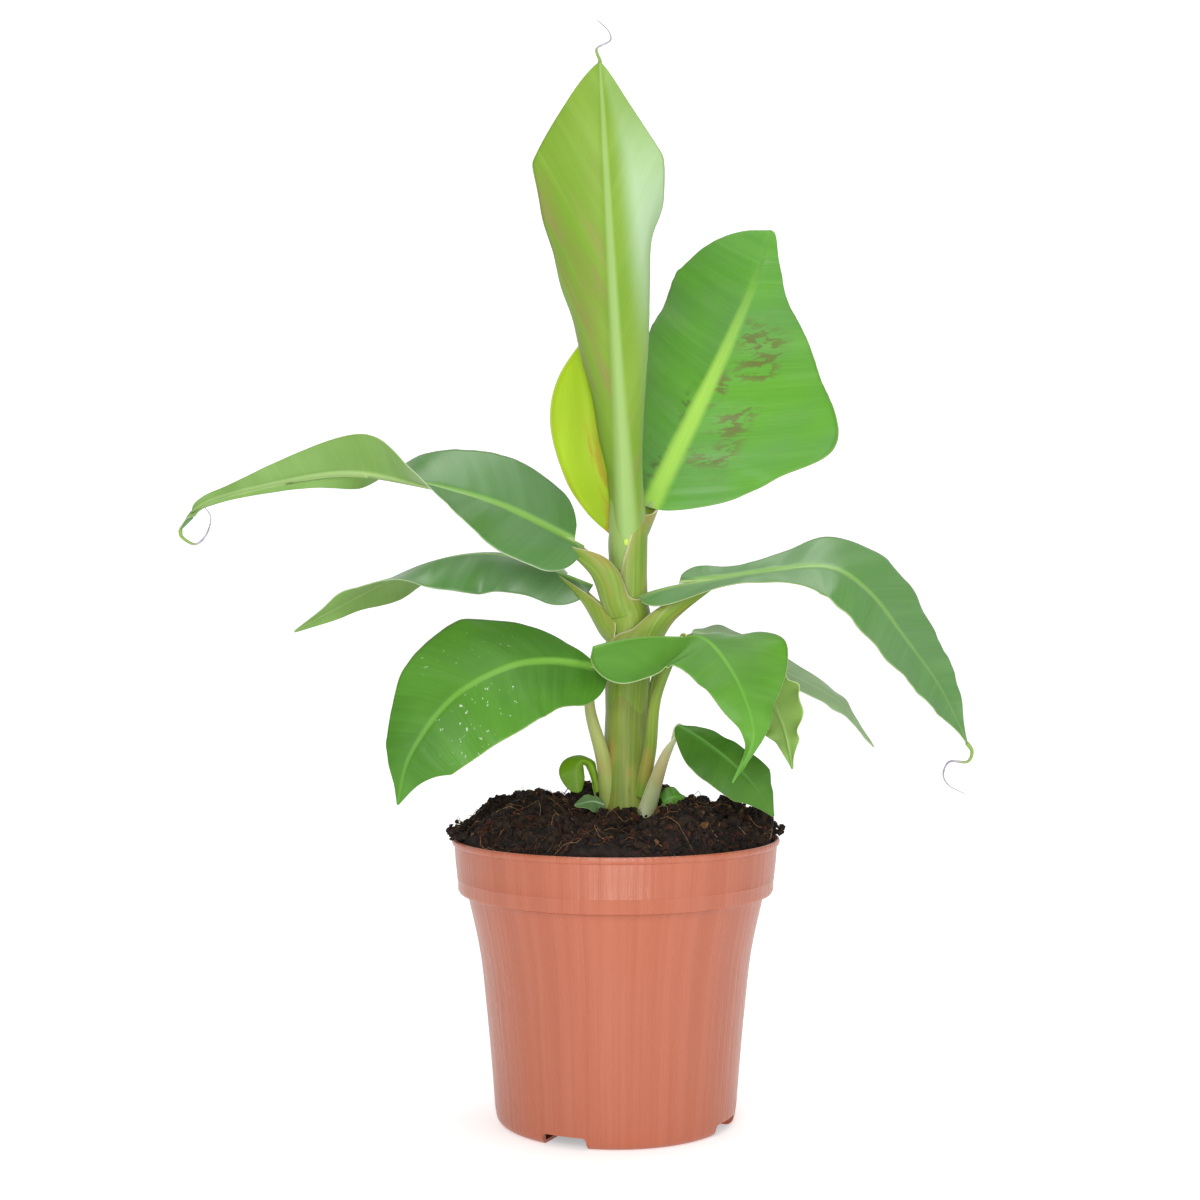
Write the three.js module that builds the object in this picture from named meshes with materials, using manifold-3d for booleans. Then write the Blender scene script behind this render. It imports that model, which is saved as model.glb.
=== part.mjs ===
// A young dwarf banana plant in a round plastic nursery pot.
// Millimetres, +Z up. The origin is the centre of the pot's flat underside, and the plant's
// broad side faces -Y. Every leaf is a thin blade bent about its own rib.

import * as THREE from "three";
import { mergeVertices } from "three/addons/utils/BufferGeometryUtils.js";
import Module from "manifold-3d";

const wasm = await Module();
wasm.setup();

// ---- driving dimensions ----

const GAP = 0.3; // between pieces that touch

const POT_RIM_RADIUS = 85;
const POT_HEIGHT = 146.5;
const POT_FOOT_RADIUS = 62;
const FOOT_ROUNDING = 5;
const POT_WAIST_RADII = [64.3, 67, 70.4];
const POT_WALL = 1.6;
const COLLAR_DROP = 29; // from the rim down to the step under the collar
const COLLAR_INSET = 8.3;
const COLLAR_STEP = 5; // how far the wall steps in there
const COLLAR_ROUNDING = 2.5;
const RIM_LIP_HEIGHT = 3;
const RIM_LIP_STEP = 0.8; // how far the lip stands out of the collar
const RIM_ROUNDING = 0.6;
const POT_SECTORS = 28;

const NOTCH_COUNT = 4;
const NOTCH_FIRST = -115; // compass angle of one notch, degrees from +X
const NOTCH_WIDTH = 24;
const NOTCH_HEIGHT = 6;
const NOTCH_INNER_RADIUS = 36;
const NOTCH_CORNER = 2.5;
const NOTCH_OVERSHOOT = 4; // how far a cut runs on past the foot

const SOIL_LEVEL = 154;
const SOIL_DOME = 8; // how far the middle stands over the edge
const SOIL_BACK_RISE = 3.5; // the back stands higher than the front
const SOIL_EDGE_GAP = 1.6;
const SOIL_WALL_GAP = 0.5; // more than the flats of the wall cut off
const SOIL_RINGS = 7;
const SOIL_SECTORS = 24;

const STEM_FOOT_LEVEL = 150;
const BLADE_THICKNESS = 1.2;

// ---- curves through a few values ----

// Catmull-Rom through evenly spaced numbers or vectors, with the end spans run straight on.
function along(values, t) {
  const vectors = values.map((value) => (Array.isArray(value) ? value : [value]));
  const last = vectors.length - 1;
  const place = Math.min(Math.max(t, 0), 1) * last;
  const span = Math.min(Math.floor(place), last - 1);
  const f = place - span;
  const at = (index, axis) => {
    if (index < 0) return 2 * vectors[0][axis] - vectors[1][axis];
    if (index > last) return 2 * vectors[last][axis] - vectors[last - 1][axis];
    return vectors[index][axis];
  };
  const result = vectors[0].map((_, axis) => {
    const [a, b, c, d] = [at(span - 1, axis), at(span, axis), at(span + 1, axis), at(span + 2, axis)];
    const slope = 0.5 * (c - a);
    const nextSlope = 0.5 * (d - b);
    const curve = b + slope * f + (3 * (c - b) - 2 * slope - nextSlope) * f * f;
    return curve + (2 * (b - c) + slope + nextSlope) * f * f * f;
  });
  return Array.isArray(values[0]) ? new THREE.Vector3(...result) : result[0];
}

function tangentAt(points, t) {
  const reach = 0.01;
  return along(points, t + reach).sub(along(points, t - reach)).normalize();
}

// The frame at t: tangent, the side to the right of someone who walks along the curve with
// the upper side overhead, and the normal on the upper side.
function frameAt(points, faces, t) {
  const tangent = tangentAt(points, t);
  const up = along(faces, t);
  const side = new THREE.Vector3().crossVectors(tangent, up).normalize();
  const normal = new THREE.Vector3().crossVectors(side, tangent);
  return { origin: along(points, t), tangent, side, normal };
}

// ---- closed meshes and solids ----

function closedGeometry(vertices, triangles) {
  const geometry = new THREE.BufferGeometry();
  geometry.setAttribute("position", new THREE.Float32BufferAttribute(vertices.flat(), 3));
  geometry.setIndex(triangles.flat());
  return geometry;
}

// Rings of equal length, joined in order, with a fan over the first and the last.
function loft(rings) {
  const count = rings[0].length;
  const vertices = rings.flat().map((point) => point.toArray());
  const triangles = [];
  for (let row = 0; row + 1 < rings.length; row += 1) {
    for (let column = 0; column < count; column += 1) {
      const next = (column + 1) % count;
      const [a, b] = [row * count + column, row * count + next];
      triangles.push([a, b, b + count], [a, b + count, a + count]);
    }
  }
  for (const [row, flip] of [[0, true], [rings.length - 1, false]]) {
    const centre = rings[row].reduce((sum, point) => sum.add(point), new THREE.Vector3());
    const hub = vertices.push(centre.divideScalar(count).toArray()) - 1;
    for (let column = 0; column < count; column += 1) {
      const a = row * count + column;
      const b = row * count + ((column + 1) % count);
      triangles.push(flip ? [hub, b, a] : [hub, a, b]);
    }
  }
  return closedGeometry(vertices, triangles);
}

function toSolid(geometry) {
  const bare = geometry.clone();
  bare.deleteAttribute("normal");
  bare.deleteAttribute("uv");
  const merged = mergeVertices(bare, 1e-4);
  return new wasm.Manifold(new wasm.Mesh({
    numProp: 3,
    vertProperties: new Float32Array(merged.attributes.position.array),
    triVerts: new Uint32Array(merged.index.array),
  }));
}

function fromSolid(solid) {
  const mesh = solid.getMesh();
  const geometry = new THREE.BufferGeometry();
  geometry.setAttribute("position", new THREE.BufferAttribute(new Float32Array(mesh.vertProperties), 3));
  geometry.setIndex(new THREE.BufferAttribute(new Uint32Array(mesh.triVerts), 1));
  return geometry;
}

// The largest piece that is left when the cutters are taken away.
function carve(geometry, cutters) {
  const left = cutters.reduce((solid, cutter) => solid.subtract(toSolid(cutter)), toSolid(geometry));
  const pieces = left.decompose();
  pieces.sort((a, b) => b.volume() - a.volume());
  return fromSolid(pieces[0]);
}

const group = new THREE.Group();

function place(name, geometry, color, roughness) {
  const material = new THREE.MeshStandardMaterial({ color, roughness, metalness: 0 });
  const mesh = new THREE.Mesh(geometry, material);
  mesh.name = name;
  group.add(mesh);
}

// ---- pot ----

function lathe(profile, sectors) {
  const geometry = new THREE.LatheGeometry(profile.map(([r, z]) => new THREE.Vector2(r, z)), sectors);
  return geometry.rotateX(Math.PI / 2);
}

// Radius of the pot's outer wall under the collar.
function potRadius(z) {
  const shoulder = POT_HEIGHT - COLLAR_DROP;
  return along([POT_FOOT_RADIUS, ...POT_WAIST_RADII, POT_RIM_RADIUS - COLLAR_INSET], z / shoulder);
}

// The pot's outer face as radius and height, from the middle of the foot up to the rim's lip.
function potOutline(inset) {
  const shoulder = POT_HEIGHT - COLLAR_DROP;
  const outline = [
    [0, inset],
    [POT_FOOT_RADIUS - FOOT_ROUNDING - inset, inset],
    [potRadius(FOOT_ROUNDING) - inset, FOOT_ROUNDING + inset],
  ];
  for (const share of [0.25, 0.5, 0.75, 1]) {
    outline.push([potRadius(share * shoulder) - inset, share * shoulder]);
  }
  outline.push([POT_RIM_RADIUS - COLLAR_INSET + COLLAR_STEP - inset, shoulder + COLLAR_ROUNDING + inset]);
  outline.push([POT_RIM_RADIUS - RIM_LIP_STEP - inset, POT_HEIGHT - RIM_LIP_HEIGHT]);
  return outline;
}

const POT_LIP = [
  [POT_RIM_RADIUS, POT_HEIGHT - RIM_LIP_HEIGHT + RIM_LIP_STEP],
  [POT_RIM_RADIUS - RIM_ROUNDING, POT_HEIGHT],
];

function potShell() {
  const innerLip = [POT_RIM_RADIUS - POT_WALL - RIM_LIP_STEP, POT_HEIGHT];
  const outline = [...potOutline(0), ...POT_LIP, innerLip, ...potOutline(POT_WALL).reverse()];
  return toSolid(lathe(outline, POT_SECTORS));
}

// A round-shouldered channel that runs out under the foot, grown by margin on every side.
function notch(index, margin) {
  const half = NOTCH_WIDTH / 2 + margin;
  const top = NOTCH_HEIGHT + margin;
  const outline = new THREE.Shape();
  outline.moveTo(-half, -NOTCH_OVERSHOOT);
  outline.lineTo(half, -NOTCH_OVERSHOOT);
  outline.lineTo(half, top - NOTCH_CORNER);
  outline.lineTo(half - NOTCH_CORNER, top);
  outline.lineTo(-half + NOTCH_CORNER, top);
  outline.lineTo(-half, top - NOTCH_CORNER);
  outline.closePath();
  const start = NOTCH_INNER_RADIUS - margin;
  const depth = POT_FOOT_RADIUS + NOTCH_OVERSHOOT - start;
  const geometry = new THREE.ExtrudeGeometry(outline, { depth, bevelEnabled: false });
  geometry.rotateX(Math.PI / 2);
  geometry.rotateZ(Math.PI / 2);
  geometry.translate(start, 0, 0);
  return toSolid(geometry.rotateZ(THREE.MathUtils.degToRad(NOTCH_FIRST + (index * 360) / NOTCH_COUNT)));
}

function pot() {
  const filled = toSolid(lathe([...potOutline(0), ...POT_LIP, [0, POT_HEIGHT]], POT_SECTORS));
  let solid = potShell();
  for (let index = 0; index < NOTCH_COUNT; index += 1) {
    solid = solid.add(notch(index, POT_WALL).intersect(filled));
  }
  for (let index = 0; index < NOTCH_COUNT; index += 1) {
    solid = solid.subtract(notch(index, 0));
  }
  return fromSolid(solid);
}

// ---- soil ----

// An uneven mound: a low dome with a few lumps, lowest where it meets the pot's wall.
function soilTop(radius, angle) {
  const dome = SOIL_DOME * (1 - (radius / POT_RIM_RADIUS) ** 2);
  const lumps = 3.4 * Math.sin(3 * angle + 0.6) * Math.sin(radius / 11)
    + 2.6 * Math.sin(5 * angle + radius / 9) + 1.6 * Math.cos(8 * angle - radius / 7);
  const back = SOIL_BACK_RISE * Math.sin(angle);
  return SOIL_LEVEL + dome + (lumps + back) * Math.min(1, radius / 30);
}

function soil(cutters) {
  const fill = POT_RIM_RADIUS - POT_WALL - SOIL_EDGE_GAP;
  const rings = [];
  const ring = (radiusAt, heightAt) => Array.from({ length: SOIL_SECTORS }, (_, index) => {
    const angle = (index / SOIL_SECTORS) * 2 * Math.PI;
    const radius = radiusAt(angle);
    return new THREE.Vector3(radius * Math.cos(angle), radius * Math.sin(angle), heightAt(radius, angle));
  });
  const shoulder = POT_HEIGHT - COLLAR_DROP;
  const floor = POT_WALL + GAP;
  rings.push(ring(() => POT_FOOT_RADIUS - FOOT_ROUNDING - floor, () => floor));
  for (const share of [0.15, 0.5, 0.75, 0.98]) {
    rings.push(ring(() => potRadius(share * shoulder) - floor - SOIL_WALL_GAP, () => share * shoulder));
  }
  rings.push(ring(() => fill - COLLAR_STEP, () => (shoulder + POT_HEIGHT) / 2));
  rings.push(ring(() => fill, () => POT_HEIGHT + 1));
  for (let index = SOIL_RINGS; index >= 1; index -= 1) {
    const spread = index === SOIL_RINGS ? 1.02 : 1;
    rings.push(ring(() => (fill * spread * index) / SOIL_RINGS, (radius, angle) => soilTop(radius, angle)));
  }
  const channels = Array.from({ length: NOTCH_COUNT }, (_, index) => notch(index, POT_WALL + GAP));
  const body = channels.reduce((solid, channel) => solid.subtract(channel), toSolid(loft(rings)));
  return carve(fromSolid(body), cutters);
}

// ---- stem and petioles ----

// A tapering limb of oval section. widths lie across it and depths through it, as full sizes.
function limb({ points, faces, widths, depths }, { steps = 10, sides = 10, grow = 0 } = {}) {
  const rings = [];
  for (let step = 0; step <= steps; step += 1) {
    const t = step / steps;
    const { origin, tangent, side, normal } = frameAt(points, faces, t);
    const endShift = grow * (step === 0 ? -1 : step === steps ? 1 : 0);
    rings.push(Array.from({ length: sides }, (_, index) => {
      const angle = (index / sides) * 2 * Math.PI;
      return origin.clone()
        .addScaledVector(tangent, endShift)
        .addScaledVector(normal, (along(depths, t) / 2 + grow) * Math.cos(angle))
        .addScaledVector(side, (along(widths, t) / 2 + grow) * Math.sin(angle));
    }));
  }
  return loft(rings);
}

const PSEUDOSTEM = {
  points: [[4.5, 0, STEM_FOOT_LEVEL], [5.5, 0, 200], [6.5, 0, 245], [6.5, 0.5, 296]],
  faces: [[0, -1, 0], [0, -1, 0]],
  widths: [25, 23, 21, 19],
  depths: [25, 23, 21, 19],
};

// Each petiole starts as a sheath on the pseudostem and leaves it for its blade.
const PETIOLES = {
  petiole_upper_right: {
    points: [[8, 6, 262], [10.5, 9, 284], [13.5, 12, 302], [17, 14.5, 317]],
    faces: [[-0.3, -1, 0], [-0.7, -1, 0.3]],
    widths: [17, 15, 12, 10],
    depths: [9, 8, 7, 5.5],
  },
  petiole_upper_left: {
    points: [[4.5, -7, 240], [1.5, -9, 266], [-7.5, -9, 286], [-19.5, -8, 299]],
    faces: [[0, 1, 0.1], [0.6, 0.2, 1]],
    widths: [20, 18, 11, 9],
    depths: [7, 6, 5, 5],
  },
  petiole_right: {
    points: [[13.5, -2, 228], [16.5, -7, 250], [26.5, -10, 264], [40.5, -12, 273]],
    faces: [[-1, 0.2, 0.3], [-0.4, 0, 1]],
    widths: [16, 14, 9, 7],
    depths: [6, 6, 5, 4.5],
  },
  petiole_middle_left: {
    points: [[-2.5, 5, 232], [-6.5, 7, 256], [-13.5, 10, 272], [-24.5, 14, 282]],
    faces: [[1, -0.3, 0.2], [0.5, 0, 1]],
    widths: [15, 13, 8, 6],
    depths: [6, 5, 5, 4],
  },
  petiole_lower_left: {
    points: [[-3.5, -4, 154], [-6.5, -7, 184], [-13.5, -11, 212], [-10.5, -18, 233]],
    faces: [[1, 0.4, 0], [0.3, 0.5, 1]],
    widths: [12, 9, 6, 5.5],
    depths: [5, 5, 5, 4.5],
  },
  petiole_front: {
    points: [[13.5, -8, 168], [18, -14, 192], [21, -24, 220], [30.5, -34, 247]],
    faces: [[-0.6, 0.6, 0.1], [-0.3, 0.5, 1]],
    widths: [9, 7, 5.5, 5],
    depths: [5, 4.5, 4.5, 4],
  },
  petiole_back_right: {
    points: [[16.5, 2, 190], [19.5, 3, 222], [27.5, 4, 243], [39.5, 4, 252]],
    faces: [[-1, 0, 0.1], [-0.3, 0, 1]],
    widths: [9, 7, 5, 4.5],
    depths: [4, 4, 4, 4],
  },
  petiole_lower_right: {
    points: [[15.5, -5, 155], [20.5, -13, 174], [25.5, -22, 190], [30, -30, 205]],
    faces: [[-1, 0.4, 0.1], [-0.6, 0.5, 0.5]],
    widths: [12, 9, 6, 5],
    depths: [4.5, 4, 4, 3.5],
  },
};

// ---- blades ----

const EDGE_WIDTH = 0.8; // a blade is never narrower than this on either side
const TIGHTEST_ROLL = 3; // the least radius a blade rolls to
const RIB_DEPTH = 3;
const RIB_END_DEPTH = 0.6;
const SWEEP_REACH = 0.25; // part of a blade whose base may lie swept back and droop

// One half of a blade's cross-section: a line that leaves the rib at the angle lift and turns
// by curl over the part reach of its width, towards the upper side.
function halfSection(half, t, width, across, sign) {
  const lift = THREE.MathUtils.degToRad(along(half.lift, t));
  const reach = half.reach ? along(half.reach, t) : 1;
  const tightest = (width * reach) / TIGHTEST_ROLL;
  const curl = THREE.MathUtils.clamp(THREE.MathUtils.degToRad(along(half.curl, t)), -tightest, tightest);
  const points = [];
  let [out, up] = [0, 0];
  for (let column = 1; column <= across; column += 1) {
    const middle = (column - 0.5) / across;
    const angle = lift + curl * Math.min(1, middle / reach);
    out += (width / across) * Math.cos(angle);
    up += (width / across) * Math.sin(angle);
    const edge = lift + curl * Math.min(1, column / across / reach);
    points.push({ out: sign * out, up, lean: sign * edge });
  }
  return points;
}

// The half-width at t: the given widths, rounded in at the base and drawn to a point at the tip.
function halfWidth(half, leaf, t) {
  const base = Math.min(1, t / (leaf.baseLength ?? 0.15));
  const tip = Math.min(1, (1 - t) / (leaf.tipLength ?? 0.4));
  const rounding = Math.sqrt(1 - (1 - base) ** 2);
  return EDGE_WIDTH + along(half.widths, t) * rounding * tip ** (leaf.tipPower ?? 0.8);
}

function blade(leaf, grow = 0) {
  const across = leaf.across ?? 3;
  const steps = leaf.steps ?? 14;
  const upper = [];
  const lower = [];
  for (let step = 0; step <= steps; step += 1) {
    const t = (1 - Math.cos((Math.PI * step) / steps)) / 2;
    const { origin, tangent, side, normal } = frameAt(leaf.rib, leaf.faces, t);
    const [leftWidth, rightWidth] = [leaf.left, leaf.right].map((half) => grow + halfWidth(half, leaf, t));
    const left = halfSection(leaf.left, t, leftWidth, across, -1);
    const right = halfSection(leaf.right, t, rightWidth, across, 1);
    const endShift = grow * (step === 0 ? -1 : step === steps ? 1 : 0);
    const ribDepth = THREE.MathUtils.lerp(leaf.ribDepth ?? RIB_DEPTH, RIB_END_DEPTH, t);
    const section = [...left.reverse(), { out: 0, up: 0, lean: 0 }, ...right];
    section.forEach(({ out, up, lean }, column) => {
      const half = column < across ? leaf.left : leaf.right;
      const share = Math.abs(column - across) / across;
      const nearBase = Math.max(0, 1 - t / SWEEP_REACH) ** 2;
      const sweep = -(half.sweep ?? 0) * nearBase * share ** 0.7;
      const droop = Math.sign(out) * (half.droop ?? 0) * nearBase * share ** 2;
      const point = origin.clone().addScaledVector(tangent, sweep + endShift);
      point.addScaledVector(side, out + droop).addScaledVector(normal, up);
      const skin = normal.clone().multiplyScalar(Math.cos(lean)).addScaledVector(side, -Math.sin(lean));
      const rib = column === across ? ribDepth : 0;
      upper.push(point.clone().addScaledVector(skin, BLADE_THICKNESS / 2 + grow));
      lower.push(point.clone().addScaledVector(skin, -BLADE_THICKNESS / 2 - rib - grow));
    });
  }
  return sheet(upper, lower, 2 * across + 1, steps + 1);
}

// Two grids of points, one above the other, closed round their edge.
function sheet(upper, lower, columns, rows) {
  const vertices = [...upper, ...lower].map((point) => point.toArray());
  const under = upper.length;
  const triangles = [];
  const quad = (a, b, c, d) => triangles.push([a, b, c], [a, c, d]);
  for (let row = 0; row + 1 < rows; row += 1) {
    for (let column = 0; column + 1 < columns; column += 1) {
      const a = row * columns + column;
      quad(a, a + 1, a + 1 + columns, a + columns);
      quad(under + a, under + a + columns, under + a + columns + 1, under + a + 1);
    }
  }
  for (let row = 0; row + 1 < rows; row += 1) {
    const a = row * columns;
    const b = a + columns - 1;
    quad(a, a + columns, under + a + columns, under + a);
    quad(b, under + b, under + b + columns, b + columns);
  }
  for (let column = 0; column + 1 < columns; column += 1) {
    const b = (rows - 1) * columns + column;
    quad(column, under + column, under + column + 1, column + 1);
    quad(b, b + 1, under + b + 1, under + b);
  }
  return closedGeometry(vertices, triangles);
}

const LEAVES = {
  leaf_top: {
    rib: [
      [6, -9, 297], [4.1, -13, 331], [1, -22, 381], [-2.2, -32, 435], [-5.2, -38, 489], [-8.2, -34, 539],
    ],
    faces: [[0, 1, 0], [0, 1, 0]],
    left: {
      widths: [40, 60, 78, 50, 31, 22],
      lift: [0, 0, 0, 0, 5, 5],
      curl: [172, 180, 180, 143, 25, 5],
      reach: [0.75, 0.5, 0.6, 1, 1, 1],
    },
    right: { widths: [10, 15, 26, 34, 38, 38], lift: [0, 0, 0, 0, 5, 5], curl: [95, 100, 100, 70, 20, 5] },
    baseLength: 0.1,
    tipLength: 0.19,
    tipPower: 0.78,
    across: 5,
    steps: 16,
  },
  leaf_upper_right: {
    rib: [[17.5, 15, 318], [38, 25, 361], [57, 36, 400], [74.5, 50, 439], [86.5, 62, 473.5]],
    faces: [[-0.3, -1, 0.3], [-0.1, -1, 0.3], [0, -1, 0.3]],
    left: { widths: [26, 52, 60, 61, 55, 50], lift: [-20, -30, -30, -20], curl: [-10, -10, -10] },
    right: { widths: [24, 54, 76, 49, 16, 7], lift: [5, 0, 0, 0], curl: [-10, -20, -10] },
    baseLength: 0.12,
    tipLength: 0.16,
    tipPower: 0.4,
  },
  leaf_upper_left: {
    rib: [
      [-21.1, -8, 300], [-59.5, -16, 318], [-102.5, -22, 329], [-139.5, -26, 333], [-185.5, -26, 325],
      [-210.5, -24, 317], [-221.5, -22, 305],
    ],
    faces: [
      [0.1, -0.6, 0.8], [0, -0.6, 0.8], [0, -0.5, 1], [0, -0.2, 1], [0, 0, 1], [0.5, 0, 1], [1, 0, 0.5],
    ],
    left: {
      widths: [26, 31, 27, 18, 7, 3, 2],
      lift: [-6, 0, 32, 98, 100, 95, 90],
      curl: [-20, -10, 0, 0, 0, 0, 0],
      sweep: 6,
    },
    right: {
      widths: [24, 33, 26, 8, 3, 2, 2],
      lift: [10, 12, 10, -60, -70, -50, -50],
      curl: [0, 0, 0, 0, 0, 0, 0],
    },
    baseLength: 0.06,
    tipLength: 0.15,
    steps: 18,
  },
  leaf_middle_left: {
    rib: [
      [-26.1, 14, 283], [-45.5, 18, 290], [-72.5, 24, 294], [-104.5, 30, 288], [-142.5, 34, 269],
      [-172.5, 34, 252],
    ],
    faces: [[0, -0.3, 1], [0, -0.3, 1], [0, -0.2, 1], [0, 0.3, 1], [0, 0.9, 0.7]],
    left: {
      widths: [18, 20, 25, 22, 13, 7],
      lift: [-50, -30, -30, -20, 0, 0],
      curl: [-30, -30, -30, -20, 0, 0],
      sweep: 16,
    },
    right: { widths: [20, 26, 30, 26, 14, 8], lift: [-10, -10, -10, -10], curl: [-20, -20, -20, -20] },
    baseLength: 0.1,
    tipLength: 0.3,
  },
  leaf_lower_left: {
    rib: [
      [-10, -20, 235], [-35.5, -35, 238.5], [-57.5, -48, 234.5], [-81.5, -60, 220], [-100, -66, 194],
      [-106.5, -64, 169.5],
    ],
    faces: [[0, -0.8, 0.6], [0, -0.8, 0.6], [0, -0.9, 0.4]],
    left: { widths: [20, 28, 34, 33, 22, 8], lift: [0, 0, 0, 0], curl: [-10, -10, -10, -10], sweep: 6 },
    right: { widths: [8, 25, 39, 31, 14, 5], lift: [0, 0, 0, 0], curl: [-10, -10, -10, -10] },
    baseLength: 0.1,
    tipLength: 0.2,
  },
  leaf_front: {
    rib: [
      [31, -35, 251], [43, -41, 250.5], [53, -50, 240], [62, -62, 222], [66, -66, 201], [56.5, -62, 180],
    ],
    faces: [[0.1, -0.6, 0.8], [0.2, -0.7, 0.7], [0.4, -0.9, 0.4], [0, -1, 0.1]],
    left: { widths: [14, 24, 36, 21, 5, 1], lift: [-50, -20, 8, 5, 0, 0], curl: [-10, -10, -10, -10] },
    right: {
      widths: [23, 27, 21, 14, 4, 1],
      lift: [-5, -5, -5, 0],
      curl: [-10, -10, -10, -10],
      sweep: 43,
      droop: 11,
    },
    baseLength: 0.06,
    tipLength: 0.2,
  },
  leaf_right: {
    rib: [
      [48, -12, 280], [73, -16, 283.5], [107, -20, 286], [127.5, -24, 274], [146.5, -28, 249],
      [164, -30, 224], [177, -30, 197],
    ],
    faces: [[0, -0.6, 0.8], [0, -0.6, 0.8], [0.3, -0.6, 0.7], [0.5, -0.6, 0.4], [0.5, -0.6, 0.3]],
    left: { widths: [13, 9, 27, 31, 24, 14, 4], lift: [0, 0, 0, 0], curl: [0, 0, 0, 0], sweep: 16 },
    right: {
      widths: [15, 8, 22, 25, 22, 16, 4],
      lift: [0, 0, 0, 0],
      curl: [0, 0, 0, 0],
      sweep: 37,
      droop: 5,
    },
    baseLength: 0.04,
    tipLength: 0.12,
  },
  leaf_back_right: {
    rib: [[40, 4, 252.5], [61.5, 6, 247], [86.5, 8, 233], [116.5, 9, 216], [135.5, 8, 192]],
    faces: [[0, -0.5, 0.9], [0.2, -0.5, 0.9], [0.4, -0.5, 0.7], [1, -0.5, 0.2]],
    left: { widths: [8, 14, 14, 10, 4], lift: [0, 0, 0, 0], curl: [-10, -10, -10, -10] },
    right: { widths: [8, 14, 12, 8, 4], lift: [0, 0, 0, 0], curl: [-10, -10, -10, -10] },
    baseLength: 0.2,
    tipLength: 0.3,
    across: 2,
    steps: 10,
  },
  leaf_back_hanging: {
    rib: [[44, -4, 236], [60, -5, 235], [76, -6, 224], [86, -8, 205], [91, -10, 182]],
    faces: [[0, 0.3, 1], [0.4, 0.4, 0.9], [0.7, 0.8, 0.3], [0.4, 1, 0.1]],
    left: { widths: [6, 14, 20, 16, 5], lift: [0, 0, 0, 0], curl: [-10, -10, -10, -10] },
    right: { widths: [7, 14, 23, 17, 5], lift: [0, 0, 0, 0], curl: [-10, -10, -10, -10] },
    baseLength: 0.2,
    tipLength: 0.35,
    across: 2,
    steps: 10,
  },
  leaf_low_right: {
    rib: [[30.5, -30.5, 206], [48.5, -38, 195], [66.5, -42, 178.6], [78.5, -40, 161]],
    faces: [[0.3, -1, 0.4], [0.3, -1, 0.4], [0.3, -1, 0.4]],
    left: { widths: [2, 9, 13, 7], lift: [0, 0, 0, 0], curl: [-10, -10, -10, -10] },
    right: { widths: [9, 16, 13, 5], lift: [0, 0, 0, 0], curl: [-10, -10, -10, -10] },
    baseLength: 0.3,
    tipLength: 0.3,
    across: 2,
    steps: 10,
  },
  leaf_low_left: {
    rib: [[-9.5, 5, 165], [-11, 6, 176], [-13.5, 6, 183], [-18, 5, 184.5], [-20.5, 4, 179], [-19.5, 3, 168.5]],
    faces: [[0.6, -0.7, 0.5], [0.2, -0.8, 0.8], [0, -1, 0.5]],
    left: { widths: [2, 2, 2, 2, 6, 9], lift: [0, 0, 0, 0], curl: [-20, -20, -20, -20] },
    right: { widths: [2, 2, 3, 7, 14, 15], lift: [0, 0, 0, 0], curl: [-20, -20, -20, -20] },
    ribDepth: 1,
    baseLength: 0.3,
    tipLength: 0.5,
    tipPower: 0.5,
    across: 2,
    steps: 12,
  },
  leaf_scrap_left: {
    rib: [[-6, -22, 165], [-13, -26, 167], [-21, -30, 165.5]],
    faces: [[0, -0.8, 0.6], [0, -0.8, 0.6]],
    left: { widths: [4, 6, 4], lift: [0, 0], curl: [0, 0] },
    right: { widths: [2, 4, 2], lift: [0, 0], curl: [0, 0] },
    ribDepth: 1,
    across: 1,
    steps: 6,
  },
  leaf_scrap_right: {
    rib: [[23, -3, 163], [29, -4, 167], [36, -3, 167]],
    faces: [[-0.3, -0.9, 0.3], [0, -0.9, 0.5]],
    left: { widths: [3, 5, 3], lift: [0, 0], curl: [0, 0] },
    right: { widths: [3, 4, 3], lift: [0, 0], curl: [0, 0] },
    ribDepth: 1,
    across: 1,
    steps: 6,
  },
};

// ---- dried threads that trail from the tips of three leaves ----

const THREADS = {
  tip_thread_top: [
    [-8.2, -34, 540.2], [-9.7, -34, 546], [-3, -34, 550], [-4, -34, 555], [-9.7, -34, 560.5],
  ],
  tip_thread_left: [
    [-220.5, -22, 301], [-214, -22, 297.5], [-208.5, -22, 302], [-206, -22, 311], [-210, -22, 317.5],
  ],
  tip_thread_right: [
    [179.5, -30, 192.5], [177, -30, 187.5], [168, -30, 187.5], [165, -30, 181], [168, -30, 175.5],
    [175.5, -30, 171.5],
  ],
};
const THREAD_THICKNESS = 1.4;

function thread(points) {
  const faces = [[0, -1, 0], [0, -1, 0.1]];
  const sizes = [THREAD_THICKNESS, THREAD_THICKNESS / 2];
  return limb({ points, faces, widths: sizes, depths: sizes }, { steps: 12, sides: 4 });
}

// ---- the plant ----

const LIMB_SIZE = { steps: 8, sides: 8 };
const STEM_SIZE = { steps: 12, sides: 16 };
const PLANTED = ["petiole_lower_left", "petiole_lower_right"];
const LYING = ["leaf_low_left", "leaf_scrap_left", "leaf_scrap_right"];

const stemCutter = limb(PSEUDOSTEM, { ...STEM_SIZE, grow: GAP });
const petioleCutters = Object.values(PETIOLES).map((petiole) => limb(petiole, { ...LIMB_SIZE, grow: GAP }));

place("pot", pot(), 0xdc8870, 0.4);
place("soil", soil([
  stemCutter,
  ...PLANTED.map((name) => limb(PETIOLES[name], { ...LIMB_SIZE, grow: GAP })),
  ...LYING.map((name) => blade(LEAVES[name], GAP)),
]), 0x33291f, 0.95);
place("pseudostem", limb(PSEUDOSTEM, STEM_SIZE), 0xa8b45c, 0.6);

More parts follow.
